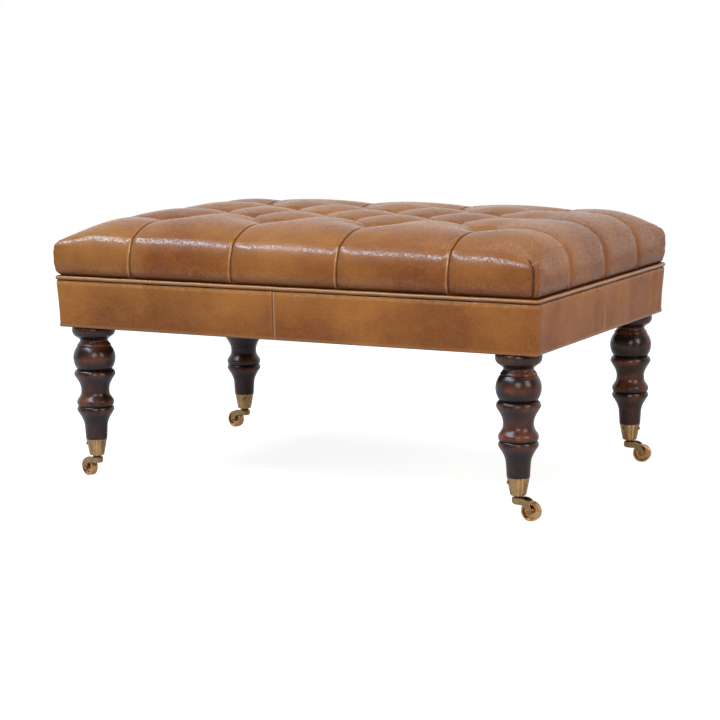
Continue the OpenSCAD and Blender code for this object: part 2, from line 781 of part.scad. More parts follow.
module leg(i) {
    color(wood_colour) difference() {
        at_leg(i) translate([0, 0, leg_top_z]) rotate_extrude() polygon(leg_outline());
        at_leg(i) translate([0, 0, leg_top_z - bolt_depth - fit_clear])
            cylinder(d = bolt_d + 2 * fit_clear, h = bolt_depth + past);
        at_cup_screws(i) translate([0, 0, -cup_screw_l - fit_clear])
            cylinder(d = cup_screw_d + 2 * fit_clear, h = cup_screw_l + past);
    }
}

module leg_front_left() { leg(FL); }
module leg_front_right() { leg(FR); }
module leg_back_right() { leg(BR); }
module leg_back_left() { leg(BL); }

module hanger_bolts() {
    color("gray") for (i = [FL : BL]) at_leg(i) translate([0, 0, leg_top_z - bolt_depth])
        cylinder(d = bolt_d, h = bolt_depth + rail_z - leg_top_z + bolt_up);
}

module tee_nuts() {
    color("silver") for (i = [FL : BL]) at_leg(i) translate([0, 0, rail_z + block_t]) difference() {
        union() {
            cylinder(d = nut_flange_d, h = nut_flange_t);
            translate([0, 0, -nut_barrel_h]) cylinder(d = nut_barrel_d, h = nut_barrel_h);
        }
        translate([0, 0, -nut_barrel_h - past])
            cylinder(d = bolt_d + 2 * fit_clear, h = nut_barrel_h + nut_flange_t + 2 * past);
    }
}

// Brass cup: a rounded base that carries the swivel pin, a sloping wall and a thin lip
cup_boss_r = 8;
cup_boss_h = 1.2;
cup_base_edge = 3;
cup_lip = 0.3;
module cup(i) {
    base_r = cup_base_d / 2;
    base_low = cup_boss_h + cup_base_edge;
    color(brass_colour) difference() {
        at_leg(i) translate([0, 0, cup_z]) rotate_extrude() polygon(concat(
            [[pin_d / 2 + run_clear, 0], [cup_boss_r, 0], [cup_boss_r, cup_boss_h],
                [base_r - cup_base_edge, cup_boss_h]],
            swell(cup_boss_h, base_r - cup_base_edge, base_low, cup_r(base_low)),
            [[cup_r(cup_h - 2.2), cup_h - 2.2], [cup_r(cup_h - 1.8) + cup_lip, cup_h - 1.8],
                [cup_r(cup_h) + cup_lip / 2, cup_h], [cup_r(cup_h) - cup_wall, cup_h],
                [base_r - cup_wall, cup_floor], [pin_d / 2 + run_clear, cup_floor]]));
        at_cup_screws(i) translate([0, 0, -2 * cup_wall])
            cylinder(d = cup_screw_d + 2 * fit_clear, h = 4 * cup_wall);
    }
}

module cup_front_left() { cup(FL); }
module cup_front_right() { cup(FR); }
module cup_back_right() { cup(BR); }
module cup_back_left() { cup(BL); }

module cup_screws() {
    head_r = cup_head_d / 2;
    head_h = 0.7 * head_r;
    color(brass_colour) for (i = [FL : BL]) at_cup_screws(i) rotate_extrude() polygon(concat(
        [[0, -cup_screw_l], [cup_screw_d / 2, -cup_screw_l], [cup_screw_d / 2, 0]],
        [for (a = [0 : 15 : 90]) [head_r * cos(a), head_h * sin(a)]]));
}

module washer(i) {
    color("#2b2420") at_leg(i) translate([0, 0, horn_top]) difference() {
        cylinder(r = cup_boss_r - 1, h = washer_t);
        translate([0, 0, -past]) cylinder(d = pin_d + 2 * fit_clear, h = washer_t + 2 * past);
    }
}

module washer_front_left() { washer(FL); }
module washer_front_right() { washer(FR); }
module washer_back_right() { washer(BR); }
module washer_back_left() { washer(BL); }

// Swivel pin: fixed in the horn, free in the cup, with its riveted head inside the cup
pin_head_t = 2;
pin_head_d = pin_d + 5;
module kingpin(i) {
    head_z = cup_z + cup_floor + soft_clear;
    color("gray") at_leg(i) {
        translate([0, 0, strap_z - arm_w / 2]) cylinder(d = pin_d, h = head_z - strap_z + arm_w / 2);
        translate([0, 0, head_z]) cylinder(d = pin_head_d, h = pin_head_t);
    }
}

module kingpin_front_left() { kingpin(FL); }
module kingpin_front_right() { kingpin(FR); }
module kingpin_back_right() { kingpin(BR); }
module kingpin_back_left() { kingpin(BL); }

// Horn: a round nose under the cup and two bent arms down to the axle
arm_in = wheel_w / 2 + 2 * soft_clear;
arm_out = arm_in + arm_t;
nose_edge = 2;
nose_flat = 6;
module arm_outline() {
    half = arm_w / 2;
    translate([trail, wheel_r]) circle(half);
    intersection() {
        translate([trail - arm_bend, wheel_r]) difference() {
            circle(arm_bend + half);
            circle(arm_bend - half);
        }
        translate([trail - arm_bend, wheel_r]) square(arm_bend + half);
    }
    translate([0, strap_z - half]) square([trail - arm_bend, arm_w]);
}

module horn(i) {
    color(brass_colour) at_castor(i) difference() {
        union() {
            for (s = [-1, 1]) translate([0, s * (arm_in + arm_t / 2) + arm_t / 2, 0])
                rotate([90, 0, 0]) linear_extrude(arm_t) arm_outline();
            intersection() {
                translate([0, 0, strap_z - arm_w / 2]) rotate_extrude() polygon([
                    [0, 0], [arm_out - nose_edge, 0], [arm_out, nose_edge],
                    [arm_out, arm_w - nose_edge / 2], [arm_out - nose_edge / 2, arm_w], [0, arm_w]]);
                translate([-arm_out, -arm_out, strap_z - arm_w / 2])
                    cube([arm_out + nose_flat, 2 * arm_out, arm_w]);
            }
        }
        translate([0, 0, strap_z - arm_w / 2 - past])
            cylinder(d = pin_d + 2 * fit_clear, h = arm_w + 2 * past);
        translate([trail, 0, wheel_r]) rotate([90, 0, 0])
            cylinder(d = axle_d + 2 * fit_clear, h = 2 * (arm_out + past), center = true);
    }
}

module horn_front_left() { horn(FL); }
module horn_front_right() { horn(FR); }
module horn_back_right() { horn(BR); }
module horn_back_left() { horn(BL); }

// Axle: a pin riveted over outside both arms
rivet_h = 1.1;
rivet_r = axle_d / 2 + 1.1;
module axle(i) {
    color("gray") at_castor(i) translate([trail, 0, wheel_r]) rotate([90, 0, 0]) {
        cylinder(d = axle_d, h = 2 * arm_out, center = true);
        for (s = [0, 1]) mirror([0, 0, s]) translate([0, 0, arm_out]) rotate_extrude()
            polygon(concat([[0, 0]], [for (a = [0 : 15 : 90]) [rivet_r * cos(a), rivet_h * sin(a)]]));
    }
}

module axle_front_left() { axle(FL); }
module axle_front_right() { axle(FR); }
module axle_back_right() { axle(BR); }
module axle_back_left() { axle(BL); }

// Wheel: a rounded tread, dished sides and a hub
module wheel(i) {
    half = wheel_w / 2;
    edge = 2;
    rim_r = wheel_r - 3.4;
    hub_r = axle_d / 2 + 2.6;
    web = 2.4;
    color(brass_colour) at_castor(i) translate([trail, 0, wheel_r]) rotate([90, 0, 0]) rotate_extrude() {
        polygon(concat(
            [[axle_d / 2 + run_clear, -half - soft_clear], [hub_r, -half - soft_clear], [hub_r + 0.6, -web],
                [rim_r - 1.2, -web], [rim_r, -half]],
            [for (a = [0 : 30 : 90]) [wheel_r - edge + edge * sin(a), -half + edge - edge * cos(a)]],
            [for (a = [0 : 30 : 90]) [wheel_r - edge + edge * cos(a), half - edge + edge * sin(a)]],
            [[rim_r, half], [rim_r - 1.2, web], [hub_r + 0.6, web], [hub_r, half + soft_clear],
                [axle_d / 2 + run_clear, half + soft_clear]]));
    }
}

module wheel_front_left() { wheel(FL); }
module wheel_front_right() { wheel(FR); }
module wheel_back_right() { wheel(BR); }
module wheel_back_left() { wheel(BL); }

front_rail();
back_rail();
left_rail();
right_rail();
cross_rail_left();
cross_rail_right();
corner_block_front_left();
corner_block_front_right();
corner_block_back_right();
corner_block_back_left();
frame_screws();
deck_board();
deck_screws();
foam_block();
fibre_wrap();
leather_top();
buttons();
button_ties();
tie_washers();
piping();
border_front_left();
border_front_right();
border_back_right();
border_back_left();
border_padding();
backtack_strip();
dust_cover();
cover_staples();
leg_front_left();
leg_front_right();
leg_back_right();
leg_back_left();
hanger_bolts();
tee_nuts();
cup_front_left();
cup_front_right();
cup_back_right();
cup_back_left();
cup_screws();
washer_front_left();
washer_front_right();
washer_back_right();
washer_back_left();
kingpin_front_left();
kingpin_front_right();
kingpin_back_right();
kingpin_back_left();
horn_front_left();
horn_front_right();
horn_back_right();
horn_back_left();
axle_front_left();
axle_front_right();
axle_back_right();
axle_back_left();
wheel_front_left();
wheel_front_right();
wheel_back_right();
wheel_back_left();
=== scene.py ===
# %% [markdown]
# # A buttoned leather ottoman
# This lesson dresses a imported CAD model. The wooden frame, the turned legs and the castors come from the CAD as
# they are, and get finishes. All that is soft is made here: the buttoned cushion, its buttons, the piping, the
# leather border and the cloth under the frame. Sizes are in metres, and in millimetres where a name ends in mm.

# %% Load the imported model
import math

import bpy
import numpy as np
from mathutils import Matrix, Vector


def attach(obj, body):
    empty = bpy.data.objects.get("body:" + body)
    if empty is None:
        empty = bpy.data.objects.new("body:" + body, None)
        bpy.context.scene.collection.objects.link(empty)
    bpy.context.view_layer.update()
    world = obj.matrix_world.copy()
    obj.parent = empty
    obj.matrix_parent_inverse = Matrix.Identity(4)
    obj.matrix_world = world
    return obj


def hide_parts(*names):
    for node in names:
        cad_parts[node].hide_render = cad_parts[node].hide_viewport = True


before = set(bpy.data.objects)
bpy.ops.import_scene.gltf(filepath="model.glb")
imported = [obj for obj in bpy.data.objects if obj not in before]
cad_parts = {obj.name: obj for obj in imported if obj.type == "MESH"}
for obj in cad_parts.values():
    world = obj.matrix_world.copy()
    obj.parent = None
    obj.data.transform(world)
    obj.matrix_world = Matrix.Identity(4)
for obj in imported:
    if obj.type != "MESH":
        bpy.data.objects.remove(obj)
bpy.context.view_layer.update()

# %% [markdown]
# ## Small helpers
# Blender's operators act on what is selected, so each step starts by selecting one piece and nothing else. A
# finished piece keeps its object at the origin and its place in its mesh, as the CAD nodes do.

# %% Helpers for picking pieces
def pick(piece=None):
    """Selects one piece, or nothing."""
    bpy.ops.object.select_all(action="DESELECT")
    if piece:
        piece.select_set(True)
        bpy.context.view_layer.objects.active = piece


def new_piece(name):
    piece = bpy.context.object
    piece.name = piece.data.name = name
    return piece


def copy_of(piece, name):
    twin = piece.copy()
    twin.data = piece.data.copy()
    twin.name = twin.data.name = name
    bpy.context.collection.objects.link(twin)
    return twin


def settle(piece):
    """Puts the piece's place, turn and scale into its mesh."""
    pick(piece)
    bpy.ops.object.transform_apply(location=True, rotation=True, scale=True)


def apply_modifier(piece, kind, **settings):
    """Adds a modifier, gives it its settings and makes it part of the mesh."""
    pick(piece)
    modifier = piece.modifiers.new(kind.title(), kind)
    for key, value in settings.items():
        setattr(modifier, key, value)
    bpy.ops.object.modifier_apply(modifier=modifier.name)


def soften(piece, degrees=60):
    pick(piece)
    bpy.ops.object.shade_smooth_by_angle(angle=math.radians(degrees))


def start_edit(piece, action="SELECT"):
    """Goes into edit mode with all of the mesh selected, or with none of it."""
    pick(piece)
    bpy.ops.object.mode_set(mode="EDIT")
    bpy.ops.mesh.select_all(action=action)


def end_edit():
    bpy.ops.object.mode_set(mode="OBJECT")


# %% Helpers for reading and moving points
def points_of(piece):
    flat = np.empty(3 * len(piece.data.vertices))
    piece.data.vertices.foreach_get("co", flat)
    return flat.reshape(-1, 3)


def move_points(piece, points):
    piece.data.vertices.foreach_set("co", np.ascontiguousarray(points, dtype=float).ravel())
    piece.data.update()


def move_points_mm(piece, x, y, z):
    move_points(piece, np.stack([x, y, z], axis=1) / 1000)


def normals_of(piece):
    flat = np.empty(3 * len(piece.data.vertices))
    piece.data.vertex_normals.foreach_get("vector", flat)
    return flat.reshape(-1, 3)


def paint_points(piece, name, values):
    """Stores one number from 0 to 1 at each point of the mesh, for the piece's material."""
    layer = piece.data.attributes.new(name, "FLOAT", "POINT")
    layer.data.foreach_set("value", np.ascontiguousarray(np.clip(values, 0, 1), dtype=np.float32))


def new_grid(name, columns, rows):
    """A flat grid, and for each of its points the numbers of its column and its row."""
    pick()
    bpy.ops.mesh.primitive_grid_add(x_subdivisions=columns - 1, y_subdivisions=rows - 1, size=2)
    grid = new_piece(name)
    flat = points_of(grid)
    column = np.round((flat[:, 0] + 1) / 2 * (columns - 1)).astype(int)
    row = np.round((flat[:, 1] + 1) / 2 * (rows - 1)).astype(int)
    return grid, column, row


# %% Helpers for soft shapes
def unit(t):
    return np.clip(t, 0, 1)


def ease(t):
    t = unit(t)
    return t * t * (3 - 2 * t)


def hump(t, middle, width):
    return np.exp(-((t - middle) / width) ** 2)


def spike(t, width):
    return np.exp(-np.abs(t) / width)


def wander(s, lengths, start):
    """A wavy number between about -1 and 1: sines of the given wavelengths added up, shifted by start."""
    weights = [1 + 0.35 * k for k in range(len(lengths))]
    waves = [np.sin(2 * np.pi * s / w + start * (1.7 + k) + k * k) for k, w in enumerate(lengths)]
    return sum(wave / weight for wave, weight in zip(waves, weights)) / sum(1 / weight for weight in weights)


# %% [markdown]
# ## Camera
# The camera stands where the photographer stood. Its place was worked out from the border's corners, the legs and
# the castors, so a piece of the render falls on the same pixel as in the photograph. A long lens keeps the
# perspective weak.

# %% Camera at the photograph's angle
photo_px, focal_px = 720, 2129.5
heading, height_angle, lean = math.radians(27.02), math.radians(8.68), math.radians(-0.52)

pick()
bpy.ops.object.camera_add(location=(1.7027, -3.3627, 0.7734))
camera = bpy.context.object
camera.name = "camera"
camera.data.lens = focal_px / photo_px * camera.data.sensor_width

back = Vector((math.sin(heading) * math.cos(height_angle), -math.cos(heading) * math.cos(height_angle),
               math.sin(height_angle)))
level = Vector((math.cos(heading), math.sin(heading), 0))
side = math.cos(lean) * level + math.sin(lean) * back.cross(level)
turn = Matrix((side, back.cross(side), back)).transposed()
camera.matrix_world = Matrix.Translation(camera.location) @ turn.to_4x4()
bpy.context.scene.camera = camera
bpy.context.scene.view_settings.view_transform = "Standard"
print("lens in mm:", round(camera.data.lens, 1))

# %% [markdown]
# ## The cushion's form
# The cushion is one hide, drawn down by 18 buttons. Between the buttons it swells into diamonds, and from the
# outer buttons straight pleats run over the rolled edge and down to the piping. It could be sculpted by hand, but
# a rule keeps every diamond and pleat on its button, so the form is written as a function of the place on a flat
# pattern: x and y on the top, and a third number for how far down the side.

# %% Sizes that the cushion shares with the CAD model
half_l_mm, half_w_mm = 450, 300
deck_top_mm = 358.8
pitch_mm, row_mm = 100, 80
outer_x_mm, outer_y_mm = 300, 160
shoulder_mm, crown_mm = 428, 39.2
pleat_mm, button_sink_mm = 14, 28
top_edge_mm = 10
edge_x_mm, edge_y_mm = half_l_mm - top_edge_mm, half_w_mm - top_edge_mm

# %% Crown of the top
# The powers make the top full out to its edge, at the right, left, back and front.
full_right, full_left, full_back, full_front = 14, 10, 8, 6
# The corners that are pulled: by how much, how far round, how sharply, and on which side of x and y
corner_pulls = [(-10, 100, 2, 1, -1), (-2.5, 80, 2, -1, -1), (4, 240, 1, -1, 1)]


def crown_height(x, y):
    """The ends are fuller than the front, the two front corners are drawn down and one at the back is high."""
    full_x, full_y = np.where(x > 0, full_right, full_left), np.where(y > 0, full_back, full_front)
    crown = shoulder_mm + crown_mm * (1 - np.abs(x / half_l_mm) ** full_x) * (1 - np.abs(y / half_w_mm) ** full_y)
    to_corner = np.hypot(half_l_mm - np.abs(x), half_w_mm - np.abs(y))
    for pull_mm, reach_mm, power, side_x, side_y in corner_pulls:
        crown = crown + pull_mm * unit(1 - to_corner / reach_mm) ** power * (side_x * x > 0) * (side_y * y > 0)
    return crown


# %% Diamonds and pleats of the top
seat_reach_mm, strip_ease_mm = 26, 60
# Outside the buttons' field a pleat loses a share of its depth, and the power that shapes it falls
shallow_share, sharp_power, sharp_fall = 0.62, 0.6, 0.28


def outside_share(x, y):
    """0 inside the buttons' field, 1 at the border's face."""
    return unit(np.maximum((np.abs(x) - outer_x_mm) / (half_l_mm - outer_x_mm),
                           (np.abs(y) - outer_y_mm) / (half_w_mm - outer_y_mm)))


def pleat_numbers(x, y):
    """Two numbers that are odd on the pleats. They stay as they are outside the buttons' field."""
    cx, cy = np.clip(x, -outer_x_mm, outer_x_mm), np.clip(y, -outer_y_mm, outer_y_mm)
    return cx / pitch_mm + cy / row_mm, cx / pitch_mm - cy / row_mm


def diamond_waves(x, y):
    """Two crossing waves that are 0 on the diamonds' edges."""
    return [np.abs(np.cos(np.pi / 2 * number)) for number in pleat_numbers(x, y)]


def puffed(x, y):
    """0 on a pleat, 1 on the crown of a diamond or of a strip between two straight pleats."""
    a, b = diamond_waves(x, y)
    past_x, past_y = np.abs(x) - outer_x_mm, np.abs(y) - outer_y_mm
    strip = ease(np.maximum(past_x, past_y) / strip_ease_mm)
    corner = np.sin(np.pi / 2 * unit(past_x / pitch_mm)) * np.sin(np.pi / 2 * unit(past_y / row_mm))
    return np.where((past_x > 0) & (past_y > 0), corner, (a * b) ** (1 - 0.5 * strip))


def top_height(x, y):
    """The pleats grow shallower and sharper outside the buttons' field."""
    a, b = diamond_waves(x, y)
    outside = outside_share(x, y)
    inside = (np.abs(x) <= outer_x_mm) & (np.abs(y) <= outer_y_mm)
    near = np.hypot(np.maximum(np.abs(x) - outer_x_mm, 0), np.maximum(np.abs(y) - outer_y_mm, 0))
    seat = np.maximum(0, 1 - a - b) * np.where(inside, 1, np.maximum(0, 1 - near / seat_reach_mm) ** 1.5)
    sharp = sharp_power - sharp_fall * ease(outside * 1.6)
    dip = pleat_mm * (1 - shallow_share * ease(outside * 1.25)) * (1 - puffed(x, y) ** sharp)
    return crown_height(x, y) - dip - (button_sink_mm - pleat_mm) * seat


# %% [markdown]
# ## The cushion's sides
# From the top's edge the hide rolls over, bulges a little past the border, and tucks in behind the piping. The
# profile is a short list of points whose corners are cut three times, which gives a smooth curve. The hide hangs
# softer in the middle of the long sides and of the right side, so there is a second profile, and each place takes
# its share of both. In plan the corners are nearly sharp, and each is closed by an upright mitred fold.

# %% Profile of the rolled side
# Distance out from the border's face, and height
tucked_mm = [(-2.6, 362.6), (-4.5, 359.4), (-4.5, 353), (-4.5, 348)]
full_mm = [(-10, 438), (-5.2, 434.8), (0.8, 429.6), (4.7, 422.4), (6.6, 413.4), (7.2, 403), (7.0, 391), (6.3, 379),
           (4.6, 370.5), (1.6, 365.2)]
soft_mm = [(-10, 438), (-6.6, 434.2), (-2.6, 428.2), (0.6, 421), (3.2, 412.6), (5.2, 402.4), (6.7, 391),
           (7.0, 379.5), (5.2, 370.8), (1.8, 365.3)]


def smooth_line(points, cuts=3):
    line = np.array(points, float)
    for _ in range(cuts):
        a, b = line[:-1], line[1:]
        mid = np.stack([0.75 * a + 0.25 * b, 0.25 * a + 0.75 * b], axis=1).reshape(-1, 2)
        line = np.vstack([line[:1], mid, line[-1:]])
    return line


full_side, soft_side = smooth_line(full_mm + tucked_mm), smooth_line(soft_mm + tucked_mm)
side_s = np.concatenate([[0], np.cumsum(np.hypot(*np.diff(full_side, axis=0).T))])
side_mm = side_s[-1]
skirt_in_mm, skirt_up_mm = 1.6, 11.0
under_mm = side_mm + skirt_in_mm + skirt_up_mm
print("length of the rolled side in mm:", round(side_mm, 1))


def side_profile(t, softness):
    """Distance out from the border's face and height, t mm down from the top's edge."""
    out, high = [np.interp(t, side_s, full) * (1 - softness) + np.interp(t, side_s, soft) * softness
                 for full, soft in zip(full_side.T, soft_side.T)]
    past = np.clip(t - side_mm, 0, None)
    return out - np.clip(past, 0, skirt_in_mm), high + np.clip(past - skirt_in_mm, 0, skirt_up_mm)


# %% Places round the cushion's rounded corners
free_mm = 20  # up to here past the outer buttons the pattern isn't stretched


def on_long_side(gy):
    return np.abs(gy) >= edge_y_mm - 1e-6


def along_side(g, edge, half, free, out, radius):
    """Follows one side from its middle to the corner's diagonal: returns along and across, in mm."""
    g = np.abs(g)
    turn_at = half + out - radius
    s = np.where(g <= free, g, free + (g - free) / (edge - free) * (turn_at - free + np.pi / 4 * radius))
    angle = np.clip((s - turn_at) / np.maximum(radius, 0.1), 0, np.pi / 4)
    along = np.where(angle > 0, turn_at + radius * np.sin(angle), s)
    return along, out - radius * (1 - np.cos(angle))


def plan_place(gx, gy, out, radius):
    """Plan place of a point that belongs at (gx, gy) on the top's edge and lies out from the border's face."""
    along_x, across_x = along_side(gx, edge_x_mm, half_l_mm, outer_x_mm + free_mm, out, radius)
    along_y, across_y = along_side(gy, edge_y_mm, half_w_mm, outer_y_mm + free_mm, out, radius)
    x = np.where(on_long_side(gy), along_x, half_l_mm + across_y)
    y = np.where(on_long_side(gy), half_w_mm + across_x, along_y)
    return np.sign(gx) * x, np.sign(gy) * y


# %% [markdown]
# A pleat on the side is a narrow fold: the hide dips towards it from both sides, one lip lies over the other, and
# a thin dark line shows between them.

# %% Distances to the nearest pleat and to the corner
far_mm = 99  # stands for no pleat near by


def from_even(value, half):
    """Signed distance from the nearest even multiple of half."""
    rest = value % (2 * half)
    return np.where(rest > half, rest - 2 * half, rest)


def pleat_distance(gx, gy):
    """Signed distance in mm from the nearest upright pleat of the sides."""
    qx = np.where(np.abs(gx) > outer_x_mm + pitch_mm, far_mm, from_even(gx + pitch_mm, pitch_mm))
    qy = np.where(np.abs(gy) > outer_y_mm + row_mm, far_mm, from_even(gy, row_mm))
    return np.where(on_long_side(gy), qx, qy)


def corner_distance(gx, gy):
    return np.maximum(edge_x_mm - np.abs(gx), edge_y_mm - np.abs(gy))


# %% From the flat pattern to the cushion's surface
softness_right, soft_over_mm, crown_fade_mm = 0.8, 60, 42
pleat_draw_mm, pleat_reach_mm = 3.6, 24
fold_draw_mm, fold_reach_mm = 0.9, 7
right_draw_mm, right_from_mm = 1.6, 400
# The corner's radius at the top's edge, and what the side, the foot and the near corner add to it
edge_radius_mm, side_radius_mm, foot_radius_mm, near_radius_mm = 1, 2.4, 3.5, 5.5
under_inset_mm, under_gap_mm = 6.1, 0.2


def down_side(t, rise, stop, fall):
    """Grows from 0 to 1 over the first rise mm, and shrinks to 0 over fall mm from stop mm above the lower edge."""
    return ease(t / rise) * (1 - ease((t - side_mm + stop) / fall))


def cushion_form(pattern):
    """pattern holds x, y and minus the distance down the side, in mm. Returns places in metres."""
    gx, gy, t = pattern[:, 0], pattern[:, 1], -pattern[:, 2]
    high, from_corner = top_height(gx, gy), corner_distance(gx, gy)
    softness = np.where(on_long_side(gy), 1.0, np.where(gx > 0, softness_right, 0.0))
    out, z = side_profile(t, ease(from_corner / soft_over_mm) * softness)
    z = z + (high - full_side[0, 1]) * (1 - ease(t / crown_fade_mm))
    draw = down_side(t, 30, 24, 10)
    out = out - draw * pleat_draw_mm * unit(1 - np.abs(pleat_distance(gx, gy)) / pleat_reach_mm) ** 2
    out = out - draw * fold_draw_mm * unit(1 - from_corner / fold_reach_mm) ** 2
    out = out - right_draw_mm * ease((gx - right_from_mm) / 40) * down_side(t, 10, 30, 16)
    radius = edge_radius_mm + side_radius_mm * ease(t / 24) + foot_radius_mm * ease((t - side_mm + 30) / 20)
    radius = radius + np.where((gx > 0) & (gy < 0), near_radius_mm * down_side(t, 12, 34, 20), 0)
    x, y = plan_place(gx, gy, out, radius)
    top, under = t < 1e-6, t > under_mm - 1e-3
    x = np.where(top, gx, np.where(under, gx * ((half_l_mm - under_inset_mm) / edge_x_mm), x))
    y = np.where(top, gy, np.where(under, gy * ((half_w_mm - under_inset_mm) / edge_y_mm), y))
    z = np.where(top, high, np.where(under, deck_top_mm + under_gap_mm, z))
    return np.stack([x, y, z], axis=1) / 1000


# %% [markdown]
# ## The cushion's flat pattern
# The pattern starts as a grid, as wide as the top. Its lines are then spaced so that they meet every button and
# come close together beside the straight pleats. The outer edge is extruded down in rings for the sides. The last
# ring stays open at first, because one large face is slow to divide, and is filled for the simulation and at the
# end.

# %% Spacing of the pattern's lines
def pattern_lines(step, edge, pleats):
    lines = list(np.arange(0, edge - 4, step))
    lines += [p + d for p in pleats for d in (-4, 4)] + [edge - 6, edge - 2, edge]
    lines = sorted(set(round(v, 3) for v in lines if 0 <= v <= edge))
    return np.array([-v for v in reversed(lines) if v > 0] + lines)


lines_x = pattern_lines(12.5, edge_x_mm, (100, 300))
lines_y = pattern_lines(10, edge_y_mm, (4, 160))
ring_t = np.concatenate([np.linspace(0, side_mm, 13)[1:], [side_mm + skirt_in_mm, under_mm]])
print("lines of the pattern:", len(lines_x), "by", len(lines_y), "and", len(ring_t), "rings")

# %% Grid and rings
pattern, column, row = new_grid("cushion_pattern", len(lines_x), len(lines_y))
move_points(pattern, np.stack([lines_x[column], lines_y[row], 0 * column], axis=1))

start_edit(pattern)
bpy.ops.mesh.region_to_loop()
for low, high in zip(ring_t, np.concatenate([[0], ring_t[:-1]])):
    bpy.ops.mesh.extrude_edges_move(TRANSFORM_OT_translate={"value": (0, 0, -(low - high))})
end_edit()
print("faces of the pattern:", len(pattern.data.polygons))


# %% Closing a cushion below
def close_below(piece):
    """Fills the open lower ring with one face and turns all faces outwards."""
    start_edit(piece, "DESELECT")
    bpy.ops.mesh.select_mode(type="EDGE")
    bpy.ops.mesh.select_non_manifold()
    bpy.ops.mesh.edge_face_add()
    bpy.ops.mesh.select_mode(type="VERT")
    bpy.ops.mesh.select_all(action="SELECT")
    bpy.ops.mesh.normals_make_consistent(inside=False)
    end_edit()


def open_below(piece):
    """Takes the one large face away again."""
    start_edit(piece, "DESELECT")
    bpy.ops.mesh.select_mode(type="FACE")
    bpy.ops.mesh.select_face_by_sides(number=4, type="GREATER")
    bpy.ops.mesh.delete(type="ONLY_FACE")
    bpy.ops.mesh.select_mode(type="VERT")
    end_edit()


# %% [markdown]
# ## Letting the hide fill out
# The formed hide is blown up by a cloth simulation, as a real hide is by its stuffing. The skirt and the buttons
# hold it, and the pleats hold it a little. Only what the simulation moves is kept, and no point may move far, so
# the cushion stays on its measured outline.

# %% Cage at rest and the weights that hold it
four_x, three_x = (-300, -100, 100, 300), (-200, 0, 200)
button_rows = ((-160, four_x), (-80, three_x), (0, four_x), (80, three_x), (160, four_x))
buttons_mm = np.array([(x, y) for y, xs in button_rows for x in xs], float)
button_hold_mm, skirt_hold_mm = 13, 36
pleat_hold, side_hold = 0.35, 0.1

flat = points_of(pattern)
rest_cage = copy_of(pattern, "cushion_rest")
move_points(rest_cage, cushion_form(flat))
blown_cage = copy_of(rest_cage, "cushion_blown")

to_button = np.min(np.hypot(flat[:, None, 0] - buttons_mm[:, 0], flat[:, None, 1] - buttons_mm[:, 1]), axis=1)
on_top = -flat[:, 2] < 1e-6
hold = np.where(on_top, pleat_hold * (1 - puffed(flat[:, 0], flat[:, 1]) ** 0.3), side_hold)
hold = np.where((on_top & (to_button < button_hold_mm)) | (-flat[:, 2] > side_mm - skirt_hold_mm), 1, hold)
grip = blown_cage.vertex_groups.new(name="held")
for index, weight in enumerate(hold):
    grip.add([index], float(weight), "REPLACE")

# %% Cloth simulation with pressure inside
push_cap = 0.005
first_frame, last_frame = 1, 20
hide_settings = {"quality": 5, "mass": 0.35, "tension_stiffness": 25, "compression_stiffness": 25,
                 "shear_stiffness": 12, "bending_stiffness": 2.0, "use_pressure": True,
                 "uniform_pressure_force": 4, "vertex_group_mass": "held"}


def blow_up(cage):
    pick(cage)
    cloth = cage.modifiers.new("Cloth", "CLOTH")
    for key, value in hide_settings.items():
        setattr(cloth.settings, key, value)
    cloth.settings.effector_weights.gravity = 0
    cloth.collision_settings.use_collision = False
    cloth.point_cache.frame_start, cloth.point_cache.frame_end = first_frame, last_frame
    for number in range(first_frame, last_frame + 1):
        bpy.context.scene.frame_set(number)
    bpy.ops.object.modifier_apply(modifier=cloth.name)
    bpy.context.scene.frame_set(first_frame)


close_below(blown_cage)
blow_up(blown_cage)
open_below(blown_cage)
pushed = points_of(blown_cage) - points_of(rest_cage)
distance = np.linalg.norm(pushed, axis=1, keepdims=True)
pushed *= np.minimum(1, push_cap / np.maximum(distance, 1e-9))
move_points(blown_cage, points_of(rest_cage) + pushed)
print("furthest move of the simulation in mm:", round(1000 * float(distance.max()), 2),
      "mean:", round(1000 * float(distance.mean()), 2))

# %% [markdown]
# Each of the three meshes is divided twice. The pattern is divided flat, which gives every new point its own
# exact place on the pattern. The two cages are divided as smooth surfaces, and their difference is the soft
# movement that the simulation found. The final surface is the exact form plus that movement.

# %% Fine cushion from pattern, rest cage and blown cage
apply_modifier(pattern, "SUBSURF", levels=2, render_levels=2, subdivision_type="SIMPLE")
for cage in (rest_cage, blown_cage):
    apply_modifier(cage, "SUBSURF", levels=2, render_levels=2)
fine = points_of(pattern)
pushed = points_of(blown_cage) - points_of(rest_cage)
cushion = copy_of(pattern, "leather_cushion")
move_points(cushion, cushion_form(fine) + pushed)
close_below(cushion)
print("points of the cushion:", len(fine))

# %% [markdown]
# The last folds are finer than the simulation's cage. They are pushed along the surface's own direction: the lip
# and the crease of each pleat, the mitred fold of each corner, small gathers round the buttons, and slack ripples
# on the roll, with creases that run down across them at the two ends. The mitre of the near corner is wider than
# the others and lies on the front side.

# %% Where each point of the cushion lies
gx, gy, t = fine[:, 0], fine[:, 1], -fine[:, 2]
on_top = t < 1e-6
shown = ~on_top & (t < side_mm - 18)
on_end = np.abs(gx) >= edge_x_mm - 1e-6
near_corner = (gx > 0) & (gy < 0)
from_pleat, from_corner = pleat_distance(gx, gy), corner_distance(gx, gy)
to_button = np.hypot(gx[:, None] - buttons_mm[:, 0], gy[:, None] - buttons_mm[:, 1])
nearest, to_nearest = to_button.argmin(axis=1), to_button.min(axis=1)

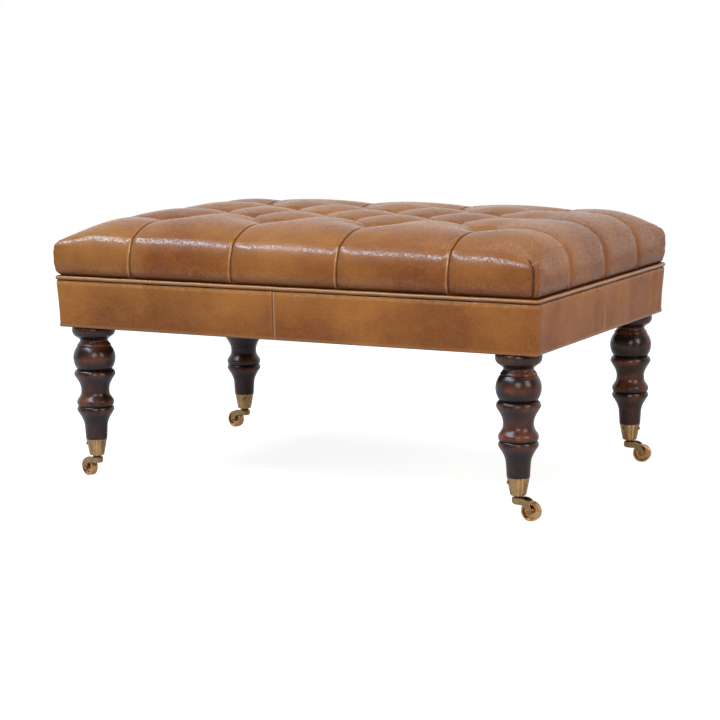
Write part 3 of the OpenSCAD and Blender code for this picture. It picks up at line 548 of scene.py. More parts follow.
# %% Folds of the pleats and the mitres
near_mitre_mm = 5.5  # how far the near corner's mitre lies from the corner
from_top_pleat = np.where(np.abs(gy) > outer_y_mm, from_even(gx + pitch_mm, pitch_mm), from_even(gy, row_mm))
# A lip beside each pleat, the crease itself, and the hide drawn in on the crease's other side
lip_side = 1.5 * hump(from_pleat, -2.8, 1.8) - 1.3 * spike(from_pleat, 0.9) - 0.9 * spike(from_pleat - 3, 5)
lip_top = 1.1 * hump(from_top_pleat, -2.8, 1.8) - 1.6 * spike(from_top_pleat, 1.0)
fold = shown * lip_side + on_top * lip_top * ease((outside_share(gx, gy) - 0.12) / 0.25)

# A mitre is a slit with small puckers across it, and the near corner's slit is wider and deeper
from_slit = np.where(near_corner, np.where(on_end, far_mm, np.abs(from_corner - near_mitre_mm)), from_corner)
slit = unit(1 - from_slit / np.where(near_corner, 3.4, 1.4)) * ease(t / 10)
puckers = 0.35 * spike(from_corner, 22) * np.sin(t / 2.6 + np.sign(gx) * 2) * ease(t / 10)
fold = fold + shown * (puckers - np.where(near_corner, 3.4, 2.4) * slit)

# %% Gathers, slack and creases
gather_mm, end_slack_mm, side_slack_mm = 0.45, 0.34, 0.24
bearing = np.arctan2(gy - buttons_mm[nearest, 1], gx - buttons_mm[nearest, 0])
fold = fold + on_top * gather_mm * np.sin(9 * bearing + 2.1 * nearest) * hump(to_nearest, 17, 9)

place = np.where(on_long_side(gy), gx, gy + 700 * np.sign(gx))
slack = wander(place, (31, 19, 47, 12), 1.3) * wander(t + 0.3 * place, (38, 57), 0.4)
slack = slack + on_end * 0.6 * wander(place + 0.4 * t, (13, 21, 9.5), 2.6) * wander(place - t, (57, 83), 1.1)
slack = slack * ease(t / 14) * (1 - 0.6 * ease(t / 60))
fold = fold + shown * np.where(on_end, end_slack_mm, side_slack_mm) * slack
move_points(cushion, points_of(cushion) + normals_of(cushion) * fold[:, None] / 1000)

# %% [markdown]
# Two things on the cushion are drawn by its material and not by its mesh: the thin line of each pleat, and the
# painted shade in its folds and crevices, which that line adds to. The lines need a map that counts up by one from
# pleat to pleat, and the painted shade needs a number at each point. Rubbed lips, lighter from wear and from a
# painted glint, get a number too. In the four corner fields, which no diamond reaches, the map counts straight
# outwards.

# %% Map of the pleats
mesh = cushion.data
corner_point = np.empty(len(mesh.loops), dtype=int)
mesh.loops.foreach_get("vertex_index", corner_point)
face_of = np.repeat(np.arange(len(mesh.polygons)), [p.loop_total for p in mesh.polygons])
middle = np.zeros((len(mesh.polygons), 2))
np.add.at(middle, face_of, fine[corner_point, :2])
middle /= np.bincount(face_of)[:, None]
in_corner = (np.abs(middle[face_of, 0]) > outer_x_mm) & (np.abs(middle[face_of, 1]) > outer_y_mm)
cx, cy = fine[corner_point, 0], fine[corner_point, 1]
map_a, map_b = pleat_numbers(cx, cy)
map_a = np.where(in_corner, 3 + (np.abs(cx) - outer_x_mm) / pitch_mm, map_a)
map_b = np.where(in_corner, 1 + (np.abs(cy) - outer_y_mm) / row_mm, map_b)
uv = mesh.uv_layers.new(name="pleats")
uv.data.foreach_set("uv", np.stack([map_a, map_b], axis=1).astype(np.float32).ravel())

# %% Painted shade round the buttons, above the piping, in the mitres and in the pleats, and rubbed lips with a painted glint
paint_points(cushion, "crevice_shade", np.maximum.reduce([
    on_top * spike(np.clip(to_nearest - 11, 0, None), 5),
    (shown | (t > side_mm - 30)) * 0.5 * ease((t - side_mm + 34) / 14),
    shown * slit ** 0.45,
    (shown & near_corner) * unit(1.8 - from_slit / 1.9) * ease(t / 7),
    shown * 0.35 * spike(from_pleat, 0.9)]))
# Rubbed lips beside the pleats: lighter from wear and from a painted glint
paint_points(cushion, "rub_and_glint", shown * hump(from_pleat, -2.3, 1.4))
soften(cushion, 70)
for spare in (pattern, rest_cage, blown_cage):
    bpy.data.objects.remove(spare)
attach(cushion, "ottoman")
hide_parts("leather_top", "fibre_wrap", "foam_block")
print("cushion triangles:", sum(len(p.vertices) - 2 for p in cushion.data.polygons))

# %% [markdown]
# ## The buttons
# Each button is a disc in a scrap of the same hide, gathered behind. One is made from a sphere, flattened,
# drawn to a cone below as the funnel of the tuft needs, and given the small gathers at its rim. It is then
# copied to the 18 places, and each copy is turned a little.

# %% One covered button
button_r, dome_h, cone_h = 0.0125, 0.0050, 0.0072
rim_h, seat_gap = 0.0078, 0.0003
rim_gathers, gather_share, tilt = 11, 0.025, 0.04


def covered_button(name):
    pick()
    bpy.ops.mesh.primitive_uv_sphere_add(segments=36, ring_count=18, radius=1)
    button = new_piece(name)
    p = points_of(button)
    r, z = np.hypot(p[:, 0], p[:, 1]), p[:, 2]
    bearing = np.arctan2(p[:, 1], p[:, 0])
    gather = 1 + gather_share * np.sin(rim_gathers * bearing) * ease((0.35 - z) / 0.4) * ease((z + 0.9) / 0.3)
    high = np.where(z > 0, dome_h * unit(z) ** 0.9, cone_h * z)
    width = np.where(z > 0, r ** 0.8, unit(r))
    scale = np.where(r > 1e-6, width / np.maximum(r, 1e-6), 0) * button_r * gather
    move_points(button, np.stack([p[:, 0] * scale, p[:, 1] * scale, rim_h + high], axis=1))
    soften(button, 70)
    return button


# %% Eighteen buttons on their seats
tuft_buttons = covered_button("tuft_buttons")
copies = [tuft_buttons] + [copy_of(tuft_buttons, f"tuft_button_{number}") for number in range(1, len(buttons_mm))]
for number, (button, (x, y)) in enumerate(zip(copies, buttons_mm)):
    button.rotation_euler = (tilt * math.sin(2.3 * number), tilt * math.cos(3.1 * number), 0.9 * number)
    button.location = (x / 1000, y / 1000, float(top_height(np.array([x]), np.array([y]))[0]) / 1000 + seat_gap)
    settle(button)
pick(tuft_buttons)
for button in copies:
    button.select_set(True)
bpy.ops.object.join()
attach(tuft_buttons, "ottoman")
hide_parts("buttons")
print("buttons:", len(copies))

# %% [markdown]
# ## The leather border
# The border is four lengths of hide, each wrapped round one corner and seamed to its neighbours. Each length
# starts as a flat grid, is wrapped round its corner by its distance from the seam, and gets its thickness from a
# Solidify modifier. Its top edge is drawn over a strip of card, so it is a little puckered there. The corner
# itself is drawn in, with a soft bulge to either side.

# %% Path round the border
corner_r_mm = 2.5
front_seam_mm, back_seam_mm = -20, 20


def wrap_corner(s, out, straight, corner_x, corner_y, seam_x):
    """Place at s mm from the front or back seam, round the corner to the side seam, out mm from the face."""
    angle = np.clip((s - straight) / corner_r_mm, 0, np.pi / 2)
    after = np.clip(s - straight - np.pi / 2 * corner_r_mm, 0, None)
    flat = corner_r_mm + out
    bend = np.clip(flat, 0, corner_r_mm + 0.5)
    inner_x, inner_y = half_l_mm - corner_r_mm, half_w_mm - corner_r_mm
    reach_x, reach_y = inner_x + flat - bend, inner_y + flat - bend
    x = np.minimum(seam_x * corner_x + np.minimum(s, straight), reach_x)
    x = np.where(s > straight, reach_x + bend * np.sin(angle), x)
    y = np.where(s > straight, reach_y + bend * np.cos(angle), inner_y + flat)
    x = np.where(after > 0, inner_x + flat, x)
    y = np.where(after > 0, np.minimum(inner_y - after, reach_y), y)
    return corner_x * x, corner_y * y


# %% Rows of the border and its waves
# Distance out from the face, and height: under the frame, up the side, and over the card strip
rows_mm = [(-20, 271.9), (-14, 271.9), (-8, 271.9), (-3.0, 271.9), (-0.7, 272.0), (0.7, 272.8), (1.3, 274.4)]
rows_mm += [(1.3 + 3.2 * (k / 16) ** 1.4, 274.4 + (346.2 - 274.4) * k / 16) for k in range(1, 17)]
rows_mm += [(4.7, 349.4), (4.6, 352.0), (3.8, 353.9), (2.5, 354.9), (0.5, 355.2), (-4.0, 355.2)]
rows_mm = np.array(rows_mm)
fold_top_mm, step_mm = 352, 4.0
pucker_mm, sag_mm, lift_mm = 0.45, 0.35, 0.5
fold_mm, end_fold_mm = 0.12, 0.85
seam_ridge_mm, flat_ridge_mm, seam_draw_mm = 0.5, 0.15, 1.0
corner_bulge_mm, corner_draw_mm = 0.5, 1.1
seam_steps = [0, 0.5, 1.1, 1.9, 3.0, 4.6]
hide_thick, weld_gap = 0.0016, 0.00002


def border_waves(s, z, seed, on_end):
    """Puckers under the top edge, slanting folds that are deeper on the short sides, and a long sag.

    Returns how far the waves reach out, and how far they lift the top edge."""
    up = unit((z - 274) / 78)
    pucker = wander(s, (23, 37, 14.5, 61), seed) * np.exp(-(fold_top_mm - np.minimum(z, fold_top_mm)) / 9)
    slant = 10 + 18 * wander(s, (160, 240), seed + 3)
    folds = wander(s + slant * (1 - up), (61, 97, 43), seed + 2) * (0.3 + 0.7 * up)
    sag = wander(s + 0.8 * z, (150, 95), seed + 5)
    lift = lift_mm * wander(s, (90, 41), seed + 1) * (z > 300) * up ** 3
    return pucker_mm * pucker + (fold_mm + end_fold_mm * on_end) * np.maximum(folds, -0.4) + sag_mm * sag, lift


# %% One length of the border
def border_length(name, corner_x, corner_y, cad_node):
    seam_x = front_seam_mm if corner_y < 0 else back_seam_mm
    straight = half_l_mm - corner_r_mm - seam_x * corner_x
    arc = np.pi / 2 * corner_r_mm
    total = straight + arc + half_w_mm - corner_r_mm
    steps = seam_steps + list(np.arange(8, straight - 3, step_mm)) + list(straight + np.linspace(0, arc, 11))
    steps += list(np.arange(straight + arc + 4, total - 6, step_mm)) + [total - v for v in reversed(seam_steps)]
    length, column, row = new_grid(name, len(steps), len(rows_mm))
    s, out, z = np.array(steps)[column], rows_mm[row, 0], rows_mm[row, 1]
    seed = 2.7 * corner_x + 1.1 * corner_y + 4
    shown = ease((z - 272.5) / 6)
    on_end = ease((s - straight) / 20)
    near_seam = np.minimum(s, total - s)
    from_corner = np.abs(s - straight - arc / 2)
    raised = np.where((s < total / 2) & (corner_x < 0), flat_ridge_mm, seam_ridge_mm)
    waves, lift = border_waves(s, z, seed, on_end)
    seam = raised * hump(near_seam, 2.6, 1.5) - seam_draw_mm * spike(near_seam, 0.8)
    corner = corner_bulge_mm * hump(from_corner, 16, 7) - corner_draw_mm * (1 - ease((from_corner - 1.5) / 9))
    x, y = wrap_corner(s, out + shown * (waves + seam + corner), straight, corner_x, corner_y, seam_x)
    z = z + lift
    move_points_mm(length, x, y, z)
    # Painted shade along the seams, under the piping's edge and where the hide turns under the frame
    seam_and_edge_shade = np.maximum(0.6 * spike(near_seam, 0.9), ease((z - 352.6) / 2.4))
    paint_points(length, "crevice_shade", np.maximum(seam_and_edge_shade, 0.5 * ease((274 - z) / 2)))
    # Rubbed wear with a painted glint under the piping, at the foot and on each seam's ridge
    rub_and_glint = (1 - 0.6 * on_end) * (0.7 + 0.5 * wander(s, (17, 29, 11), seed)) * hump(z, 350.6, 1.6)
    paint_points(length, "rub_and_glint", rub_and_glint + 0.6 * hump(z, 273.4, 1.5) + 2 * raised * hump(near_seam, 2.4, 1.2))
    start_edit(length)
    if corner_x * corner_y > 0:
        bpy.ops.mesh.flip_normals()
    bpy.ops.mesh.remove_doubles(threshold=weld_gap)
    end_edit()
    apply_modifier(length, "SOLIDIFY", thickness=hide_thick, offset=-1)
    soften(length, 60)
    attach(length, "ottoman")
    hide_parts(cad_node)
    return length


# %% Four lengths, one round each corner
corners = {"front_left": (-1, -1), "front_right": (1, -1), "back_right": (1, 1), "back_left": (-1, 1)}
border = [border_length("border_cover_" + corner, *sides, "border_" + corner) for corner, sides in corners.items()]
print("points of a border length:", len(border[0].data.vertices))

# %% [markdown]
# ## The piping
# The piping is a cord in a strip of hide, closed behind the cord and nailed between cushion and border. It is
# made from a ring whose circle is bent to the border's outline. The inner side of its round section is drawn in
# to a flat tongue, and a small joint shows where its two ends meet, on the right side.

# %% Path of the piping
piping_r_mm, piping_out_mm, piping_bend_mm = 3.6, 2.7, 4.0
run_x = half_l_mm + piping_out_mm - piping_bend_mm
run_y = half_w_mm + piping_out_mm - piping_bend_mm
bend_mm = np.pi / 2 * piping_bend_mm
part_ends = np.cumsum([run_y, bend_mm, 2 * run_x, bend_mm, 2 * run_y, bend_mm, 2 * run_x, bend_mm, run_y])
part_starts = np.concatenate([[0], part_ends[:-1]])
whole = part_ends[-1]


def outline_place(s):
    """Place and outward direction at s mm along the piping, counted from the middle of the right side."""
    part = np.searchsorted(part_ends, s, side="right")
    d = s - part_starts[part]
    quarter = (part + 1) // 2
    angle = np.radians(90) * quarter + np.where(part % 2 == 1, d / piping_bend_mm - np.radians(90), 0)
    nx, ny = np.cos(angle), np.sin(angle)
    corner = (quarter - (part % 2 == 1)) % 4
    corner_x, corner_y = np.array([1, -1, -1, 1])[corner] * run_x, np.array([1, 1, -1, -1])[corner] * run_y
    bx, by = corner_x + nx * piping_bend_mm, corner_y + ny * piping_bend_mm
    back_along = np.where(part % 2 == 0, part_ends[part] - s, 0) + np.where(part == 8, run_y, 0)
    return bx + ny * back_along, by - nx * back_along, nx, ny


# %% Ring for the piping, with a station every few mm
station_mm, bend_stations, section_n = 3.8, 8, 20
stations = np.concatenate([np.linspace(a, b, bend_stations if k % 2 else round((b - a) / station_mm), endpoint=False)
                           for k, (a, b) in enumerate(zip(part_starts, part_ends))])
pick()
bpy.ops.mesh.primitive_torus_add(major_segments=len(stations), minor_segments=section_n, major_radius=1,
                                 minor_radius=0.2)
piping = new_piece("piping_cord")
p = points_of(piping)
turn_at = np.arctan2(p[:, 1], p[:, 0]) % (2 * np.pi)
section = np.arctan2(p[:, 2], np.hypot(p[:, 0], p[:, 1]) - 1)
s = stations[np.round(turn_at / (2 * np.pi) * len(stations)).astype(int) % len(stations)]

# %% Cord, tongue and joint
joint_mm, joint_notch_mm, joint_bulge_mm = -4.0, 0.55, 0.25
tongue_in_mm, tongue_thick_mm = 6.2, 1.0
to_joint = np.abs((s - joint_mm + whole / 2) % whole - whole / 2)
thick = piping_r_mm * (1 + 0.02 * wander(s, (9, 23, 15), 0.2))
thick = thick - joint_notch_mm * hump(to_joint, 0, 0.9) + joint_bulge_mm * hump(to_joint, 4, 2.4)
behind = np.abs(section) > np.radians(150)
across = np.where(behind, -tongue_in_mm, thick * np.cos(section))
high = np.where(behind, np.sign(np.sin(section) + 1e-9) * tongue_thick_mm / 2, thick * np.sin(section))
across = across + 0.25 * wander(s, (83, 47, 131), 0.7)
high = high + 0.3 * wander(s, (112, 67, 39), 1.9)
cx, cy, nx, ny = outline_place(s)
move_points_mm(piping, cx + nx * across, cy + ny * across, deck_top_mm + high)
start_edit(piping)
bpy.ops.mesh.normals_make_consistent(inside=False)
end_edit()
# Painted shade at the joint and on the cord's underside, and rubbed wear with a painted glint along its top
paint_points(piping, "crevice_shade", hump(to_joint, 0, 1.0) + ease((0.2 - np.cos(section)) / 0.6))
paint_points(piping, "rub_and_glint", hump(section, 0.3, 0.5))
soften(piping, 60)
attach(piping, "ottoman")
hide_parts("piping")
print("length of the piping in m:", round(float(whole) / 1000, 2))

# %% [markdown]
# ## The cloth under the frame
# A thin black cloth closes the frame from below. It is a grid with its edge stapled flat, and it sags a little
# between the rails.

# %% Dust cloth
cloth_l, cloth_w, cloth_high, cloth_thick = 0.880, 0.580, 0.2717, 0.0004
stapled, sag_ease, sag, wrinkle_h = 0.035, 0.12, 0.0035, 0.0012
pick()
bpy.ops.mesh.primitive_grid_add(x_subdivisions=88, y_subdivisions=58, size=1)
dust_cloth = new_piece("dust_cloth")
p = points_of(dust_cloth)
x, y = p[:, 0] * cloth_l, p[:, 1] * cloth_w
inside = ease((cloth_l / 2 - stapled - np.abs(x)) / sag_ease) * ease((cloth_w / 2 - stapled - np.abs(y)) / sag_ease)
wrinkle = wander(1000 * (x + 0.6 * y), (71, 46, 29), 0.3) * wander(1000 * (y - 0.4 * x), (120, 66), 2.2)
move_points(dust_cloth, np.stack([x, y, cloth_high - inside * (sag + wrinkle_h * wrinkle)], axis=1))
apply_modifier(dust_cloth, "SOLIDIFY", thickness=cloth_thick, offset=-1)
soften(dust_cloth, 60)
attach(dust_cloth, "ottoman")
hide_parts("dust_cover")
print("dust cloth:", cloth_l, "by", cloth_w)

# %% [markdown]
# ## Finishes
# A finish is a node tree. Nodes are added by short helpers that set values and make links, so that a tree reads
# from top to bottom. Patterns that several finishes share are node groups.

# %% Helpers for node trees
def fill_in(tree, node, values):
    """Gives sockets, by name or number, a value or another node's output."""
    for key, value in values.items():
        if isinstance(value, bpy.types.NodeSocket):
            tree.links.new(value, node.inputs[key])
        else:
            node.inputs[key].default_value = value


def add_node(tree, kind, values=None, **settings):
    node = tree.nodes.new("ShaderNode" + kind)
    for key, value in settings.items():
        setattr(node, key, value)
    fill_in(tree, node, values or {})
    return node


def maths(tree, operation, a, b=0.0, clamp=False):
    return add_node(tree, "Math", {0: a, 1: b}, operation=operation, use_clamp=clamp).outputs[0]


def plus(tree, a, b, clamp=False):
    return maths(tree, "ADD", a, b, clamp)


def minus(tree, a, b):
    return maths(tree, "SUBTRACT", a, b)


def times(tree, a, b, clamp=False):
    return maths(tree, "MULTIPLY", a, b, clamp)


def larger(tree, a, b):
    return maths(tree, "MAXIMUM", a, b)


def stretch(tree, value, low, high, to_low=0.0, to_high=1.0):
    """Brings a value from one range to another, kept inside the new range."""
    ranges = {"Value": value, "From Min": low, "From Max": high, "To Min": to_low, "To Max": to_high}
    return add_node(tree, "MapRange", ranges).outputs[0]


def between(tree, share, first, second):
    return add_node(tree, "Mix", {0: share, 2: first, 3: second}, data_type="FLOAT").outputs[0]


def blend_colours(tree, share, first, second, mode="MIX"):
    node = add_node(tree, "Mix", {0: share, 6: first, 7: second}, data_type="RGBA", blend_type=mode)
    return node.outputs[2]


def grey(tree, value):
    return add_node(tree, "CombineColor", {0: value, 1: value, 2: value}).outputs[0]


def own_place(tree, scale=None):
    """The place in the piece's own coordinates, stretched by scale if there is one."""
    place = add_node(tree, "TexCoord").outputs["Object"]
    return add_node(tree, "Mapping", {"Vector": place, "Scale": scale}).outputs[0] if scale else place


def own_height(tree):
    return add_node(tree, "SeparateXYZ", {0: own_place(tree)}).outputs[2]


def noise(tree, place, scale, detail=3.0, roughness=0.5):
    values = {"Vector": place, "Scale": scale, "Detail": detail, "Roughness": roughness}
    return add_node(tree, "TexNoise", values).outputs["Fac"]


def bump(tree, height, strength, depth, **more):
    values = {"Height": height, "Strength": strength, "Distance": depth, **more}
    return add_node(tree, "Bump", values).outputs[0]


# %% Helpers for groups and finishes
FLOAT, COLOUR, VECTOR = "NodeSocketFloat", "NodeSocketColor", "NodeSocketVector"


def new_group(name, inputs, outputs):
    """Returns the group's tree, the sockets that bring its inputs, and the node that takes its results."""
    tree = bpy.data.node_groups.new(name, "ShaderNodeTree")
    for label, kind, default in inputs:
        tree.interface.new_socket(label, in_out="INPUT", socket_type=kind).default_value = default
    for label, kind in outputs:
        tree.interface.new_socket(label, in_out="OUTPUT", socket_type=kind)
    return tree, tree.nodes.new("NodeGroupInput").outputs, tree.nodes.new("NodeGroupOutput")


def place_group(tree, group, values):
    return add_node(tree, "Group", values, node_tree=group).outputs


def new_finish(name):
    finish = bpy.data.materials.new(name)
    finish.use_nodes = True
    tree = finish.node_tree
    return finish, tree, tree.nodes["Principled BSDF"]


def give(piece, finish):
    piece.data.materials.clear()
    piece.data.materials.append(finish)


# %% [markdown]
# ### Waxed hide
# Waxed leather is lighter where it was pulled and rubbed, and cloudy all over. Painted shade darkens its folds
# and crevices and darkens it lower down, and a painted highlight lightens its rubbed lips and edges. Three noises
# of different sizes make the clouds, a Voronoi pattern makes the pores, and thin lines where a noise crosses its
# middle value make the veins and creases that run through a hide. The wax lies unevenly, so the clear coat does
# too, and that breaks up the bright streaks.

# %% Group for the hide's colour, gloss and grain
hide, given, result = new_group(
    "waxed_hide",
    [("Light", COLOUR, (0.5, 0.25, 0.09, 1)), ("Deep", COLOUR, (0.3, 0.12, 0.04, 1)), ("Crevice Shade", FLOAT, 0.0),
     ("Rub And Glint", FLOAT, 0.0), ("Clouds", FLOAT, 1.0), ("Shade", FLOAT, 0.0), ("Polish", FLOAT, 1.0)],
    [("Colour", COLOUR), ("Roughness", FLOAT), ("Wax", FLOAT), ("Height", FLOAT)])
place = own_place(hide)
big = stretch(hide, noise(hide, place, 6.0, 3.0), 0.34, 0.66)
mid = stretch(hide, noise(hide, place, 30.0, 3.0, 0.55), 0.3, 0.7)
small = stretch(hide, noise(hide, place, 260.0, 4.0, 0.65), 0.3, 0.7)
pores = add_node(hide, "TexVoronoi", {"Vector": place, "Scale": 700.0}).outputs["Distance"]


def thin_lines(tree, value, width):
    """1 where a noise crosses its middle value, 0 elsewhere: thin lines that wander and fork."""
    return stretch(tree, maths(tree, "ABSOLUTE", minus(tree, value, 0.5)), 0.0, width, 1.0, 0.0)


vein_mask = stretch(hide, noise(hide, place, 11.0, 2.0), 0.48, 0.62)
veins = times(hide, thin_lines(hide, noise(hide, place, 60.0, 4.0, 0.6), 0.02), vein_mask)
creases = thin_lines(hide, noise(hide, place, 150.0, 3.0, 0.55), 0.05)

# %% The hide's colour from clouds, painted shade lower down, veins, rubbed places with painted glints, and painted shade in crevices
vein_colour, rub_and_glint_colour, crevice_shade_colour = (0.55, 0.3, 0.13, 1), (0.58, 0.29, 0.1, 1), (0.06, 0.019, 0.0065, 1)
cloud = plus(hide, times(hide, big, 0.7), times(hide, mid, 0.3))
cloud = times(hide, minus(hide, cloud, 0.5), given["Clouds"])
# Shade is a painted shade: it pushes the colour towards Deep lower down
cloud = plus(hide, plus(hide, cloud, 0.5), given["Shade"], clamp=True)
colour = blend_colours(hide, cloud, given["Light"], given["Deep"])
speckle = grey(hide, stretch(hide, small, 0.0, 1.0, 0.88, 1.1))
colour = blend_colours(hide, 1.0, colour, speckle, "MULTIPLY")
colour = blend_colours(hide, times(hide, veins, 0.1), colour, vein_colour)
# Rubbed wear, partly a painted glint on lips and edges
colour = blend_colours(hide, times(hide, given["Rub And Glint"], 0.5), colour, rub_and_glint_colour)
# Painted shade in folds, seams and crevices
colour = blend_colours(hide, times(hide, given["Crevice Shade"], 0.9, clamp=True), colour, crevice_shade_colour)

# %% The hide's gloss, wax and grain
gloss = plus(hide, times(hide, mid, 0.1), times(hide, small, 0.08))
gloss = plus(hide, plus(hide, gloss, 0.3), times(hide, given["Crevice Shade"], 0.3))
wax = times(hide, stretch(hide, small, 0.25, 0.85, 0.0, 0.9), stretch(hide, mid, 0.0, 1.0, 0.6, 1.4))
wax = plus(hide, times(hide, wax, given["Polish"]), times(hide, given["Rub And Glint"], 0.75), clamp=True)
grain = plus(hide, times(hide, pores, 0.35), times(hide, small, 0.55))
grain = minus(hide, grain, times(hide, creases, 0.35))
grain = plus(hide, grain, plus(hide, times(hide, veins, 0.5), mid))
fill_in(hide, result, {"Colour": colour, "Roughness": gloss, "Wax": wax, "Height": grain})

# %% Group that draws the pleats from their map
line_width, ridge_width, ridge_off = 0.013, 0.04, 0.045  # in steps of the map
pleats, given, result = new_group("pleat_lines", [("Map", VECTOR, (0, 0, 0))],
                                  [("Line", FLOAT), ("Height", FLOAT)])
split = add_node(pleats, "SeparateXYZ", {0: given["Map"]})


def line_and_ridge(tree, value):
    """A thin line where the value is an odd number, and a wider ridge a little before it."""
    wrapped = maths(tree, "MODULO", plus(tree, value, 200.0), 2.0)
    return [stretch(tree, maths(tree, "ABSOLUTE", minus(tree, wrapped, at)), 0.0, width, 1.0, 0.0)
            for at, width in ((1.0, line_width), (1.0 - ridge_off, ridge_width))]


line_a, ridge_a = line_and_ridge(pleats, split.outputs[0])
line_b, ridge_b = line_and_ridge(pleats, split.outputs[1])
drawn_line = larger(pleats, line_a, line_b)
height = minus(pleats, times(pleats, larger(pleats, ridge_a, ridge_b), 0.5), drawn_line)
fill_in(pleats, result, {"Line": drawn_line, "Height": height})


# %% Finishes in hide
def hide_finish(name, light, deep, clouds, polish, dark_below=None, with_pleats=False):
    """dark_below is a range of heights for a painted shade. The hide is deep in tone at its lower end and light at
    its upper end, as if lit from above.
    """
    finish, tree, shader = new_finish(name)
    crevice_shade = add_node(tree, "Attribute", attribute_name="crevice_shade").outputs["Fac"]
    rub_and_glint = add_node(tree, "Attribute", attribute_name="rub_and_glint").outputs["Fac"]
    if with_pleats:
        drawn = place_group(tree, pleats, {"Map": add_node(tree, "UVMap", uv_map="pleats").outputs[0]})
        # The pleats' thin lines add painted shade in their creases
        crevice_shade = larger(tree, crevice_shade, times(tree, drawn["Line"], 0.3))
    values = {"Light": light, "Deep": deep, "Crevice Shade": crevice_shade, "Rub And Glint": rub_and_glint, "Clouds": clouds, "Polish": polish}
    if dark_below:
        # Painted shade: deeper in tone lower down, lighter higher up
        values["Shade"] = stretch(tree, own_height(tree), *dark_below, 0.32, -0.12)
    skin = place_group(tree, hide, values)
    normal = bump(tree, skin["Height"], 0.7, 0.0003)
    if with_pleats:
        normal = bump(tree, drawn["Height"], 0.6, 0.001, Normal=normal)
    fill_in(tree, shader, {"Base Color": skin["Colour"], "Roughness": skin["Roughness"], "Normal": normal,
                           "Coat Weight": skin["Wax"], "Coat Roughness": 0.17, "Specular IOR Level": 0.16})
    return finish


give(cushion, hide_finish("hide_cushion", (0.32, 0.117, 0.026, 1), (0.192, 0.05, 0.0105, 1), clouds=1.1,
                          polish=0.85, dark_below=(0.365, 0.445), with_pleats=True))
give(tuft_buttons, hide_finish("hide_buttons", (0.27, 0.09, 0.018, 1), (0.16, 0.047, 0.01, 1), clouds=1.0,
                               polish=0.8))
give(piping, hide_finish("hide_piping", (0.25, 0.08, 0.013, 1), (0.17, 0.048, 0.008, 1), clouds=1.0, polish=0.35))
border_hide = hide_finish("hide_border", (0.37, 0.13, 0.026, 1), (0.21, 0.061, 0.012, 1), clouds=1.1, polish=0.3,
                          dark_below=(0.272, 0.35))
for length in border:
    give(length, border_hide)

# %% [markdown]
# ### Stained and polished wood
# The legs are stained nearly black and then rubbed back, so red-brown shows on the high parts of the turning. The
# high parts lie at known heights, so a colour ramp over the height finds them, and two noises break them up: long
# streaks along the grain and soft patches.

# %% Finish of the legs
leg_foot, leg_head = 0.0692, 0.2712
near_black, red_brown = (0.0065, 0.0032, 0.003, 1), (0.25, 0.064, 0.023, 1)
# Pairs of a height, as a share of the leg's, and how much of the stain is rubbed off there
high_spots = [(0.02, 0.15), (0.14, 0.25), (0.2, 0.12), (0.259, 0.8), (0.297, 0.05), (0.333, 0.85), (0.39, 0.4),
              (0.45, 0.3), (0.53, 0.15), (0.575, 0.75), (0.615, 0.05), (0.66, 0.15), (0.73, 0.55), (0.79, 0.1),
              (0.85, 0.8), (0.89, 0.05), (0.97, 0.35)]
stain, tree, shader = new_finish("stained_wood")
streaks = stretch(tree, noise(tree, own_place(tree, (1.0, 1.0, 0.22)), 75.0, 6.0, 0.6), 0.4, 0.72)
patches = stretch(tree, noise(tree, own_place(tree), 26.0, 4.0, 0.55), 0.4, 0.66)
bands = add_node(tree, "ValToRGB", {0: stretch(tree, own_height(tree), leg_foot, leg_head)})
bands.color_ramp.interpolation = "EASE"
ramp = bands.color_ramp.elements
while len(ramp) < len(high_spots):
    ramp.new(0.5)
for stop, (at, amount) in zip(ramp, high_spots):
    stop.position = at
    stop.color = (amount, amount, amount, 1)
broken = plus(tree, times(tree, streaks, 0.45), times(tree, patches, 0.65))
worn = times(tree, bands.outputs[0], broken, clamp=True)
fill_in(tree, shader, {"Base Color": blend_colours(tree, worn, near_black, red_brown),
                       "Roughness": stretch(tree, streaks, 0.0, 1.0, 0.2, 0.34),
                       "Normal": bump(tree, plus(tree, streaks, patches), 0.35, 0.0004),
                       "Specular IOR Level": 0.2, "Coat Weight": 0.35, "Coat Roughness": 0.27})

# %% [markdown]
# ### Old brass
# Brass that has been handled is brighter on its faces and browner in patches. Its roughness changes with the
# patches too, which breaks up the reflections. The cups were turned, and the fine rings that the lathe left
# spread each reflection up and down, so light bands stand upright on them.

# %% Group for brass
brass, given, result = new_group(
    "old_brass", [("Bright", COLOUR, (0.66, 0.47, 0.22, 1)), ("Brown", COLOUR, (0.3, 0.17, 0.07, 1)),
                  ("Turned", FLOAT, 0.0)],
    [("Colour", COLOUR), ("Roughness", FLOAT), ("Height", FLOAT)])
place = own_place(brass)
patches = stretch(brass, noise(brass, place, 90.0, 5.0, 0.6), 0.42, 0.72)
scratches = noise(brass, place, 600.0, 4.0)
rings = times(brass, noise(brass, own_place(brass, (0.01, 0.01, 1.0)), 2600.0, 2.0), given["Turned"])
satin = stretch(brass, plus(brass, patches, scratches), 0.2, 1.6, 0.16, 0.38)
fill_in(brass, result, {
    "Colour": blend_colours(brass, times(brass, patches, 0.55), given["Bright"], given["Brown"]),
    "Roughness": plus(brass, satin, times(brass, given["Turned"], 0.16)),
    "Height": plus(brass, times(brass, scratches, 0.4), rings)})


